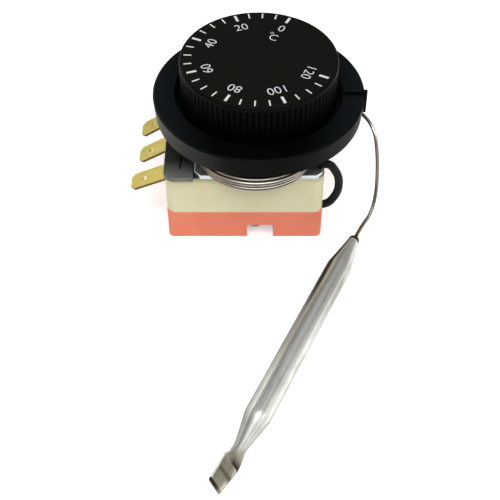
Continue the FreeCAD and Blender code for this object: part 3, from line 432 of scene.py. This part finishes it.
def bulb_finish():
    """Satin stainless tube with long draw lines, handling marks and a duller band of painted reflection
    on each side.

    Heat has left brown along its left side near the capillary and on its collar. The tip of its olive
    tail is dark brown; painted shadow darkens its fold and painted shade its crease, beside a lip with a
    painted highlight.
    """
    finish = Finish("bulb_steel", 0.38, 1.0, Specular_Tint=(0.14, 0.14, 0.125, 1.0),
                    Specular_IOR_Level=0.04)
    lines = finish.noise(1500.0, 4.0, 0.6, (0.02, 1, 1), BULB_TURN)
    marks = finish.noise(190.0, 5.0, 0.65, (0.35, 1, 1), BULB_TURN)
    streaks = finish.noise(420.0, 2.0, 0.5, (0.015, 1, 1), BULB_TURN)
    tone = finish.blended((lines, 0.35), (marks, 0.4), (streaks, 0.25))
    body = finish.ramp(tone, [(0.41, (0.44, 0.435, 0.385)), (0.49, (0.80, 0.80, 0.75)),
                              (0.58, (0.96, 0.96, 0.92))])
    along = finish.sum(finish.reach(*BULB_WAY), -Vector(BULB_WAY).dot(mm(*BULB_TOP)))
    across = finish.sum(finish.reach(*BULB_SIDE), -Vector(BULB_SIDE).dot(mm(*BULB_TOP)))
    facing = finish.toward(*BULB_SIDE)
    # Painted reflection: a duller band on each side of the tube
    right_reflection = finish.band(facing, *RIGHT_PAINTED_REFLECTION, 0.6)
    left_reflection = finish.both(finish.band(facing, *LEFT_PAINTED_REFLECTION, 0.5), finish.spread(along, *LEFT_PAINTED_REFLECTION_START))
    body = finish.mix(finish.either(right_reflection, left_reflection), body, (0.44, 0.44, 0.39))
    heat = finish.both(finish.spread(facing, *LEFT_SIDE), finish.spread(along, *HEAT))
    pale = finish.mix(finish.spread(along, *MOUTH_PALE), body, (0.94, 0.93, 0.87))
    heated = finish.mix(heat, pale, BROWN)
    neck = finish.mix(finish.spread(along, *NECK, 0.0, 0.6), heated, (0.28, 0.28, 0.265))
    olive = finish.ramp(marks, [(0.4, (0.33, 0.305, 0.22)), (0.6, (0.52, 0.49, 0.39))])
    tail = finish.mix(finish.spread(along, *TAIL), neck, olive)
    skewed = finish.sum(along, finish.both(across, -TAIL_SLANT))
    # Painted shadow under the fold of the pinched tail
    fold = finish.both(finish.band(skewed, *FOLD_SHADOW), finish.spread(across, *FOLD_SHADOW_ACROSS))
    fold_shadowed = finish.mix(fold, tail, BROWN)
    # Painted shade in the crease
    crease = finish.both(finish.band(skewed, *CREASE_SHADE), finish.spread(across, *CREASE_SHADE_ACROSS, 0.0, 0.95))
    crease_shaded = finish.mix(crease, fold_shadowed, (0.09, 0.072, 0.048))
    # Painted highlight along the lip
    lip = finish.both(finish.spread(across, *LIP_HIGHLIGHT_ACROSS), finish.spread(skewed, *LIP_HIGHLIGHT))
    lip_highlighted = finish.mix(lip, crease_shaded, (0.86, 0.84, 0.78))
    tip = finish.both(finish.spread(skewed, *TIP), finish.spread(across, *TIP_ACROSS, 0.3))
    ends = finish.either(tip, finish.spread(along, *COLLAR))
    finish.colour(finish.mix(ends, lip_highlighted, BROWN))
    # Not metal on the brown ends and heat tint, nor on the painted shadow and shade of the fold and
    # crease
    finish.bare(finish.either(finish.either(ends, heat), finish.either(fold, crease)))
    finish.rough(finish.spread(tone, 0.38, 0.62, 0.46, 0.36))
    return finish.bump(lines, 0.000008)


def bracket_finish():
    """Plated steel sheet, duller on its faces, with a painted highlight on its rounded rims."""
    finish = Finish("bracket_steel", 0.3, 1.0)
    rolled = finish.noise(900.0, 5.0, 0.6, (0.25, 1, 1))
    face = finish.ramp(rolled, [(0.3, (0.46, 0.53, 0.53)), (0.7, (0.62, 0.69, 0.69))])
    upward = finish.toward(0, 0, 1)
    # Painted highlight along the rounded rims between the top and the edges
    rim = finish.both(finish.spread(upward, 0.15, 0.4), finish.spread(upward, 0.995, 0.93))
    finish.colour(finish.mix(rim, face, (0.88, 0.90, 0.92)))
    finish.rough(finish.spread(rolled, 0.3, 0.7, 0.40, 0.52))
    return finish.bump(rolled, 0.000004)


BLADE_PITCH = 0.0125
BLADE_HOLE_X = -0.0326
HOLE_HALF_Y = (0.0012, 0.0010)
HOLE_HALF_X = (0.0017, 0.0015)


def brass_finish():
    """Stamped brass sheet, a little tarnished, with brown cut edges and hole walls painted pale for the
    light seen through the holes.
    """
    finish = Finish("terminal_brass", 0.34, 1.0)
    rolled = finish.noise(700.0, 4.0, 0.6, (0.12, 1, 1))
    blots = finish.noise(260.0, 3.0, 0.5)
    tone = finish.blended((rolled, 0.35), (blots, 0.65))
    face = finish.ramp(tone, [(0.34, (0.42, 0.32, 0.072)), (0.5, (0.52, 0.42, 0.105)),
                              (0.66, (0.62, 0.53, 0.17))])
    upward = finish.spread(finish.away(finish.toward(0, 0, 1)), 0.45, 0.7)
    beside = finish.sum(finish.sum(finish.axis("Y"), BLADE_PITCH), BLADE_PITCH / 2, "PINGPONG")
    inboard = finish.away(finish.sum(finish.axis("X"), -BLADE_HOLE_X))
    # Painted light: the walls of the holes are made pale, for the bright floor seen through them
    painted_hole_light = finish.both(finish.spread(beside, *HOLE_HALF_Y), finish.spread(inboard, *HOLE_HALF_X))
    cut_edge = finish.mix(painted_hole_light, (0.13, 0.085, 0.03), (0.80, 0.72, 0.42))
    finish.colour(finish.mix(upward, cut_edge, face))
    finish.rough(finish.spread(blots, 0.35, 0.65, 0.38, 0.5))
    return finish.bump(rolled, 0.000005)


FINISHES = {
    "knob_black": knob_finish(),
    "bezel_black": bezel_finish(),
    "dial_white": moulded("dial_white", (0.55, 0.56, 0.57), (0.66, 0.67, 0.68), 0.5, clouds=900.0),
    "spring_steel": metal("spring_steel", (0.30, 0.31, 0.33), (0.45, 0.46, 0.48), 0.3),
    "spindle_steel": metal("spindle_steel", (0.48, 0.48, 0.49), (0.64, 0.64, 0.65), 0.25),
    "zinc_steel": metal("zinc_steel", (0.52, 0.54, 0.56), (0.72, 0.74, 0.77), 0.3),
    "bracket_steel": bracket_finish(),
    "turned_brass": metal("turned_brass", (0.55, 0.42, 0.16), (0.78, 0.66, 0.34), 0.3),
    "cover_grey": board_finish(),
    "housing_cream": cream_finish(),
    "base_orange": orange_finish(),
    "screw_bronze": metal("screw_bronze", (0.16, 0.075, 0.035), (0.34, 0.19, 0.10), 0.34),
    "terminal_brass": brass_finish(),
    "contact_copper": metal("contact_copper", (0.55, 0.27, 0.15), (0.75, 0.42, 0.27), 0.3),
    "contact_silver": metal("contact_silver", (0.70, 0.70, 0.68), (0.88, 0.88, 0.86), 0.25),
    "pin_ceramic": moulded("pin_ceramic", (0.66, 0.64, 0.58), (0.76, 0.74, 0.68), 0.45),
    "capsule_steel": metal("capsule_steel", (0.45, 0.45, 0.46), (0.62, 0.62, 0.63), 0.32),
    "capillary_copper": capillary_finish(),
    "sleeve_black": moulded("sleeve_black", (0.0025, 0.0025, 0.0025), (0.0045, 0.0045, 0.0045), 0.5,
                            Specular_IOR_Level=0.15),
    "bulb_steel": bulb_finish(),
}

NODE_FINISHES = {
    "knob": "knob_black", "knob_clip": "spring_steel", "spindle": "spindle_steel",
    "spindle_circlip": "spring_steel", "bezel": "bezel_black", "bezel_screw_front": "zinc_steel",
    "bezel_screw_rear": "zinc_steel", "bracket": "bracket_steel", "spindle_bush": "turned_brass",
    "terminal_cover": "cover_grey", "upper_housing": "housing_cream", "base_cover": "base_orange",
    "assembly_screw_front": "screw_bronze", "assembly_screw_rear": "screw_bronze",
    "terminal_front": "terminal_brass", "terminal_middle": "terminal_brass",
    "terminal_rear": "terminal_brass", "contact_blade": "contact_copper",
    "moving_contact": "contact_silver", "fixed_contact_lower": "contact_silver",
    "fixed_contact_upper": "contact_silver", "switch_lever": "zinc_steel",
    "lever_pin": "spindle_steel", "push_pin": "pin_ceramic", "adjusting_nut": "turned_brass",
    "setting_spring": "spring_steel", "diaphragm_capsule": "capsule_steel",
    "capillary_inlet": "capillary_copper", "capillary_sleeve": "sleeve_black",
    "capillary_coil": "capillary_copper", "capillary_lead": "capillary_copper",
    "sensing_bulb": "bulb_steel",
}

for node, slot in NODE_FINISHES.items():
    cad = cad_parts[node]
    cad.data.materials.clear()
    cad.data.materials.append(FINISHES[slot].material)


# Pieces made in mesh code

WELD = 0.01
NODE_WELD = 0.0005
EDGES_FROM = 35.0
ROUND_EDGES_FROM = 50.0
PRINT_EDGES_FROM = 20.0


def finished(mesh, name, slot, body, smooth_below=EDGES_FROM):
    """A mesh put in the scene with its finish, riding on its body, sharp above an angle."""
    mesh.update()
    mesh.polygons.foreach_set("use_smooth", [True] * len(mesh.polygons))
    mesh.set_sharp_from_angle(angle=math.radians(smooth_below))
    mesh.materials.clear()
    mesh.materials.append(FINISHES[slot].material)
    piece = bpy.data.objects.new(name, mesh)
    bpy.context.scene.collection.objects.link(piece)
    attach(piece, body)
    return piece


def turned(profile, steps, axis="Z"):
    """A closed form spun from a profile of (radius, place) points that starts and ends on the axis."""
    form = bmesh.new()
    along_x = axis == "X"
    corners = [form.verts.new(mm(place, radius, 0) if along_x else mm(radius, 0, place))
               for radius, place in profile]
    edges = [form.edges.new(pair) for pair in zip(corners, corners[1:])]
    bmesh.ops.spin(form, geom=corners + edges, cent=(0, 0, 0), axis=(1, 0, 0) if along_x else (0, 0, 1),
                   angle=TURN, steps=steps, use_merge=True)
    bmesh.ops.remove_doubles(form, verts=form.verts, dist=WELD * MM)
    bmesh.ops.recalc_face_normals(form, faces=form.faces)
    return form


def mesh_of(form, name):
    """A form written out as a mesh; the form is used up."""
    mesh = bpy.data.meshes.new(name)
    form.to_mesh(mesh)
    form.free()
    return mesh


def smooth_copy(node, name, slot, body, smooth_below=EDGES_FROM):
    """A node's own shape with its loose triangles joined, so that its round faces shade smoothly."""
    form = bmesh.new()
    form.from_mesh(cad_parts[node].data)
    bmesh.ops.remove_doubles(form, verts=form.verts, dist=NODE_WELD * MM)
    piece = finished(mesh_of(form, name), name, slot, body, smooth_below)
    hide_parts(node)
    return piece


smooth_copy("capillary_sleeve", "sleeve", "sleeve_black", "housing", ROUND_EDGES_FROM)
smooth_copy("bracket", "bracket_plate", "bracket_steel", "housing")


# Leaf spring: its feet rise with the lever, so in the real part it flattens towards the nut above it;
# here it is a smooth copy with a mesh of its own, and nothing bends it

leaf_spring = smooth_copy("setting_spring", "leaf_spring", "spring_steel", "housing")
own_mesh(leaf_spring)


# Knob: 84 rounded ribs round its side

KNOB_RADIUS = 22.25
KNOB_BOTTOM = 32.9
KNOB_FACE = 48.6
KNOB_WALL = 2.1
KNOB_CEILING = 46.4
HUB_RADIUS = 5.2
HUB_BOTTOM = 34.5
BORE_RADIUS = 3.05
RIBS = 84
RIB_DEPTH = 0.45
RIB_CURVE = 2.6
RIB_STEPS = 8
RIB_FADE_FOOT = 46.45
RIB_FADE = 0.6
RIB_LEVELS = (39.5, RIB_FADE_FOOT, 46.7, 46.9, 47.05)
SIDE_WITHIN = 0.2
FOOT_ROUNDING = ((0.65, 0.0), (0.15, 0.1), (0.0, 0.35))
CROWN = 0.8
CROWN_STEPS = 4
FACE_EDGE = 1.4
FACE_MIDDLE = 11.0
SMALL_CHAMFER = 0.2


def rib_fall(step, strength):
    """How far the side lies below the rib's crest at a step across one rib."""
    across = abs(2.0 * (step % RIB_STEPS) / RIB_STEPS - 1.0)
    return RIB_DEPTH * strength * across ** RIB_CURVE


def make_knob():
    """The cap with its hub and bore, and then the ribs pressed into its side up to the crown."""
    inner = KNOB_RADIUS - KNOB_WALL
    profile = [(0, KNOB_CEILING), (BORE_RADIUS, KNOB_CEILING), (BORE_RADIUS, HUB_BOTTOM),
               (HUB_RADIUS - SMALL_CHAMFER, HUB_BOTTOM), (HUB_RADIUS, HUB_BOTTOM + SMALL_CHAMFER),
               (HUB_RADIUS, KNOB_CEILING), (inner, KNOB_CEILING),
               (inner, KNOB_BOTTOM + SMALL_CHAMFER), (inner + SMALL_CHAMFER, KNOB_BOTTOM)]
    profile += [(KNOB_RADIUS - inset, KNOB_BOTTOM + rise) for inset, rise in FOOT_ROUNDING]
    profile += [(KNOB_RADIUS, level) for level in RIB_LEVELS]
    for step in range(CROWN_STEPS + 1):
        turn = step / CROWN_STEPS * math.pi / 2
        profile.append((KNOB_RADIUS - CROWN * (1 - math.cos(turn)),
                        KNOB_FACE - CROWN * (1 - math.sin(turn))))
    profile += [(KNOB_RADIUS - FACE_EDGE, KNOB_FACE), (FACE_MIDDLE, KNOB_FACE), (0, KNOB_FACE)]
    form = turned(profile, RIBS * RIB_STEPS)
    for corner in form.verts:
        radius = math.hypot(corner.co.x, corner.co.y)
        if radius < (KNOB_RADIUS - SIDE_WITHIN) * MM:
            continue
        step = round(math.atan2(corner.co.y, corner.co.x) / TURN * RIBS * RIB_STEPS)
        strength = 1 - ease((corner.co.z / MM - RIB_FADE_FOOT) / RIB_FADE)
        shrink = 1 - rib_fall(step, strength) * MM / radius
        corner.co.x *= shrink
        corner.co.y *= shrink
    return finished(mesh_of(form, "knob_cap"), "knob_cap", "knob_black", "dial")


knob_cap = make_knob()
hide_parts("knob")


# Dial print: a scale from 0 to 120 over 270 degrees

SCALE_START = 64.2
SCALE_STEP = 45.0
SCALE_MARKS = 25
MARKS_A_STEP = 4
COUNT_A_MARK = 5
NUMBER_HEIGHT = 4.1
NUMBER_PLACE = 0.672
UNIT_HEIGHT = 3.9
STROKE_THINNING = -0.00004
# A mark's inner and outer end as shares of the knob's radius, and half its width
LONG_MARK = (0.815, 0.94, 0.38)
SHORT_MARK = (0.845, 0.945, 0.21)
# A sign's place as a share of the knob's radius, and its angle past the start of the scale
UNIT_LETTER = (0.453, 1.6)
UNIT_DEGREE = (0.493, 7.2)
PRINT_FOOT = KNOB_FACE - 0.01
PRINT_TOP = KNOB_FACE + 0.025


def add_block(form, placing, low, high):
    """A thin block between two corners, placed by a matrix."""
    made = bmesh.ops.create_cube(form, size=1.0)["verts"]
    size = [top - foot for foot, top in zip(low, high)]
    centre = [(top + foot) / 2 for foot, top in zip(low, high)]
    place = placing @ Matrix.Translation(mm(*centre))
    bmesh.ops.transform(form, verts=made, matrix=place @ Matrix.Diagonal((*mm(*size), 1.0)))


def add_words(form, words, height, radius, angle):
    """Upright characters that read with their tops away from the dial's middle."""
    curve = bpy.data.curves.new("words", "FONT")
    curve.body = words
    curve.size = height * MM
    curve.align_x = "CENTER"
    curve.align_y = "CENTER"
    curve.extrude = (PRINT_TOP - PRINT_FOOT) / 2 * MM
    curve.offset = STROKE_THINNING
    holder = bpy.data.objects.new("words", curve)
    bpy.context.scene.collection.objects.link(holder)
    bpy.context.view_layer.update()
    mesh = bpy.data.meshes.new_from_object(holder.evaluated_get(bpy.context.evaluated_depsgraph_get()))
    turn = Matrix.Rotation(angle - math.pi / 2, 4, "Z")
    place = Matrix.Translation(mm(radius * math.cos(angle), radius * math.sin(angle),
                                  (PRINT_TOP + PRINT_FOOT) / 2))
    mesh.transform(place @ turn)
    form.from_mesh(mesh)
    bpy.data.objects.remove(holder)
    bpy.data.meshes.remove(mesh)
    bpy.data.curves.remove(curve)


def make_print():
    """The scale's marks, with a number at each long one, and the unit's two signs."""
    form = bmesh.new()
    for mark in range(SCALE_MARKS):
        angle = math.radians(SCALE_START + mark * SCALE_STEP / MARKS_A_STEP)
        numbered = mark % MARKS_A_STEP == 0
        inner, outer, half = LONG_MARK if numbered else SHORT_MARK
        add_block(form, Matrix.Rotation(angle, 4, "Z"), (inner * KNOB_RADIUS, -half, PRINT_FOOT),
                  (outer * KNOB_RADIUS, half, PRINT_TOP))
        if numbered:
            add_words(form, str(mark * COUNT_A_MARK), NUMBER_HEIGHT, NUMBER_PLACE * KNOB_RADIUS, angle)
    for sign, (share, turn) in (("C", UNIT_LETTER), ("°", UNIT_DEGREE)):
        add_words(form, sign, UNIT_HEIGHT, share * KNOB_RADIUS, math.radians(SCALE_START + turn))
    return finished(mesh_of(form, "dial_print"), "dial_print", "dial_white", "dial", PRINT_EDGES_FROM)


make_print()


# Free capillary: out of the sleeve, wound under the bezel, then out to the bulb

TUBE_RADIUS = 0.525
EXIT = (16.9, -19.2, 26.4)
LEAD_IN = (14.4, -19.45, 26.35)
WINDING_CENTRE = (-0.85, -10.6)
WINDING_HALF = (18.0, 18.5)
WINDING_START = -50.0
WINDING_BACK = 90.0
WINDING_MOVE = 0.3
POINTS_A_TURN = 16
SLOTS = [(0.55, 25.78), (0.42, 26.87), (0.2, 27.93), (0.75, 28.83), (1.7, 28.35), (1.35, 27.3),
         (1.6, 26.2), (2.45, 27.0), (2.7, 25.9)]
LEAD = [(3.0, 5.9, 28.4), (10.5, 6.7, 28.7), (18.5, 6.6, 28.8), (25.5, 4.3, 28.7),
        (30.8, 0.0, 28.4), (33.6, -5.6, 27.0), (34.6, -8.7, 21.0), (35.0, -10.6, 15.0),
        (35.0, -13.0, 9.2), (33.6, -16.9, 4.4), (30.45, -21.37, 3.5), (27.9, -26.8, 3.5),
        (20.26, -43.1, 3.5), (12.63, -59.4, 3.5)]


def winding_points():
    """The turns, clockwise seen from above; each moves to its next place at the back."""
    reach = 1 / math.cos(math.pi / POINTS_A_TURN)
    points = []
    step = 360.0 / POINTS_A_TURN
    total = int((WINDING_START + 360.0 * len(SLOTS) - WINDING_BACK) / step)
    for number in range(total + 1):
        angle = WINDING_START - number * step
        turns = (WINDING_BACK - angle) / 360.0
        lap = min(int(turns), len(SLOTS) - 1)
        move = ease((turns - lap) / WINDING_MOVE) if lap else 1.0
        before = SLOTS[max(lap - 1, 0)]
        after = SLOTS[lap]
        inset = lerp(before[0], after[0], move)
        level = lerp(before[1], after[1], move)
        turn = math.radians(angle)
        points.append((WINDING_CENTRE[0] + (WINDING_HALF[0] - inset) * reach * math.cos(turn),
                       WINDING_CENTRE[1] + (WINDING_HALF[1] - inset) * reach * math.sin(turn),
                       level))
    return points


def make_capillary():
    """The tube as one smooth line along the winding and the free stretch."""
    points = [EXIT, LEAD_IN] + winding_points() + LEAD
    curve = bpy.data.curves.new("capillary", "CURVE")
    curve.dimensions = "3D"
    curve.bevel_depth = TUBE_RADIUS * MM
    curve.bevel_resolution = 3
    curve.resolution_u = 6
    curve.use_fill_caps = True
    spline = curve.splines.new("NURBS")
    spline.points.add(len(points) - 1)
    for point, place in zip(spline.points, points):
        point.co = (*mm(*place), 1.0)
    spline.order_u = 3
    spline.use_endpoint_u = True
    curve.materials.append(FINISHES["capillary_copper"].material)
    piece = bpy.data.objects.new("capillary", curve)
    bpy.context.scene.collection.objects.link(piece)
    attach(piece, "housing")
    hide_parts("capillary_coil", "capillary_lead")
    return piece


capillary = make_capillary()


# Sensing bulb: a drawn tube, necked down at both ends, its tail pinched flat

BULB_SECTIONS = [
    # along, half width, half height, flatness, shift
    (-1.7, 0.54, 0.54, 0.0, 0.0), (-1.2, 0.64, 0.64, 0.0, 0.0), (-0.8, 0.86, 0.86, 0.0, 0.0),
    (-0.5, 1.15, 1.15, 0.0, 0.0), (-0.3, 1.45, 1.45, 0.0, 0.0), (0.0, 1.6, 1.6, 0.0, 0.0),
    (1.2, 1.7, 1.7, 0.0, 0.0), (4.0, 2.13, 2.13, 0.0, 0.0), (8.0, 2.79, 2.79, 0.0, 0.0),
    (11.0, 3.31, 3.31, 0.0, 0.0), (11.6, 3.42, 3.42, 0.0, 0.0), (12.2, 3.48, 3.48, 0.0, 0.0),
    (13.0, 3.5, 3.5, 0.0, 0.0), (40.0, 3.5, 3.5, 0.0, 0.0), (66.8, 3.5, 3.5, 0.0, 0.0),
    (67.5, 3.47, 3.47, 0.0, 0.0), (68.1, 3.36, 3.36, 0.0, 0.0), (68.8, 3.2, 3.2, 0.0, 0.0),
    (71.0, 2.78, 2.74, 0.0, 0.0), (73.6, 2.3, 2.26, 0.0, 0.0), (75.6, 1.95, 1.92, 0.0, 0.0),
    (76.8, 1.78, 1.76, 0.0, 0.0), (77.6, 1.75, 1.66, 0.1, 0.02), (78.4, 1.8, 1.5, 0.3, 0.08),
    (79.2, 1.86, 1.35, 0.5, -0.04), (80.4, 2.15, 1.15, 0.7, -0.02), (81.6, 2.42, 1.02, 0.85, 0.14),
    (81.95, 2.48, 0.96, 0.9, 0.22), (82.25, 2.5, 0.68, 0.9, 0.28), (82.7, 2.52, 0.62, 0.9, 0.36),
    (84.0, 2.46, 0.64, 0.9, 0.54), (86.0, 2.32, 0.62, 0.9, 0.76), (89.4, 2.04, 0.62, 0.9, 1.05),
    (89.6, 1.98, 0.56, 0.9, 1.05)]
BULB_POINTS = 48
FLAT_POWER = 0.55
SLANT_START = 79.0
SLANT_RUN = 2.6


def make_bulb():
    """A round tube spun from its half widths, then pressed flat, shifted and slanted at its tail."""
    place = Matrix.Translation(mm(*BULB_TOP)) @ Matrix.Rotation(math.pi + BULB_TURN, 4, "Z")
    profile = [(section[1], section[0]) for section in BULB_SECTIONS]
    form = turned([(0, profile[0][1])] + profile + [(0, profile[-1][1])], BULB_POINTS, "X")
    for corner in form.verts:
        along = corner.co.x / MM
        section = min(BULB_SECTIONS, key=lambda item: abs(item[0] - along))
        half_width, half_height, flat, shift = section[1:]
        radius = math.hypot(corner.co.y, corner.co.z) / MM
        side = corner.co.y / MM / max(radius, 0.001)
        rise = corner.co.z / MM / max(radius, 0.001)
        power = lerp(1.0, FLAT_POWER, flat)
        share = radius / half_width
        across = math.copysign(abs(side) ** power, side) * half_width * share
        up = math.copysign(abs(rise) ** power, rise) * half_height * share
        slant = ease((along - SLANT_START) / SLANT_RUN) * TAIL_SLANT
        corner.co = place @ mm(along + slant * across, across - shift, up)
    piece = finished(mesh_of(form, "bulb"), "bulb", "bulb_steel", "housing", ROUND_EDGES_FROM)
    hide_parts("sensing_bulb")
    return piece


bulb = make_bulb()


# Floor and light

FLOOR_SIZE = 12.0
FLOOR_LIFT = 0.425
WORLD_LIGHT = 0.25
WORLD_COLOUR = (0.96, 0.98, 1.0, 1.0)
LIGHTS = [
    # name, place, aim, size, power
    ("overhead", (0.06, -0.55, 1.15), (0, -0.05, 0), (1.4, 1.0), 17.0),
    ("left_panel", (-0.9, -0.35, 0.5), (0, 0, 0.03), (0.5, 0.7), 1.2),
    ("right_panel", (0.9, -0.25, 0.45), (0, 0, 0.03), (0.5, 0.6), 2.6),
    ("rear_left", (-0.75, 0.82, 0.52), (0, 0, 0.02), (0.8, 0.5), 2.4)]


def seen_directly(tree, *rays):
    """1 for the named kinds of ray, such as those from the camera, and 0 for all others."""
    path = tree.nodes.new("ShaderNodeLightPath")
    total = path.outputs[rays[0]]
    for ray in rays[1:]:
        node = tree.nodes.new("ShaderNodeMath")
        node.operation = "MAXIMUM"
        tree.links.new(total, node.inputs[0])
        tree.links.new(path.outputs[ray], node.inputs[1])
        total = node.outputs["Value"]
    return total


def make_floor():
    """A plain pale floor; its glow is seen and mirrored, but lights nothing."""
    form = bmesh.new()
    bmesh.ops.create_grid(form, x_segments=2, y_segments=2, size=FLOOR_SIZE)
    mesh = mesh_of(form, "floor")
    finish = Finish("floor", 0.85, Specular_IOR_Level=0.1, Emission_Color=(1.0, 1.0, 1.0, 1.0))
    finish.colour(finish.ramp(finish.noise(3.0, 2.0), [(0.3, (0.86, 0.86, 0.86)),
                                                       (0.7, (0.88, 0.88, 0.88))]))
    shown = seen_directly(finish.tree, "Is Camera Ray", "Is Glossy Ray", "Is Transmission Ray")
    finish.link(finish.sum(shown, FLOOR_LIFT, "MULTIPLY"), finish.shader.inputs["Emission Strength"])
    mesh.materials.append(finish.material)
    floor = bpy.data.objects.new("floor", mesh)
    bpy.context.scene.collection.objects.link(floor)


def add_light(name, place, aim, size, power):
    """A soft rectangular lamp at a place, turned towards its aim, in metres and watts."""
    light = bpy.data.lights.new(name, "AREA")
    light.shape = "RECTANGLE"
    light.size, light.size_y = size
    light.energy = power
    holder = bpy.data.objects.new(name, light)
    holder.location = place
    holder.rotation_euler = (Vector(aim) - Vector(place)).to_track_quat("-Z", "Y").to_euler()
    bpy.context.scene.collection.objects.link(holder)


def make_light():
    """A dim room that shows white to the camera, and the lamps."""
    world = bpy.data.worlds.new("room")
    world.use_nodes = True
    tree = world.node_tree
    backdrop = tree.nodes["Background"]
    backdrop.inputs["Color"].default_value = WORLD_COLOUR
    strength = tree.nodes.new("ShaderNodeMapRange")
    strength.inputs["To Min"].default_value = WORLD_LIGHT
    strength.inputs["To Max"].default_value = 1.0
    tree.links.new(seen_directly(tree, "Is Camera Ray"), strength.inputs["Value"])
    tree.links.new(strength.outputs["Result"], backdrop.inputs["Strength"])
    bpy.context.scene.world = world
    for lamp in LIGHTS:
        add_light(*lamp)


make_floor()
make_light()
bpy.context.scene.view_settings.view_transform = "Standard"
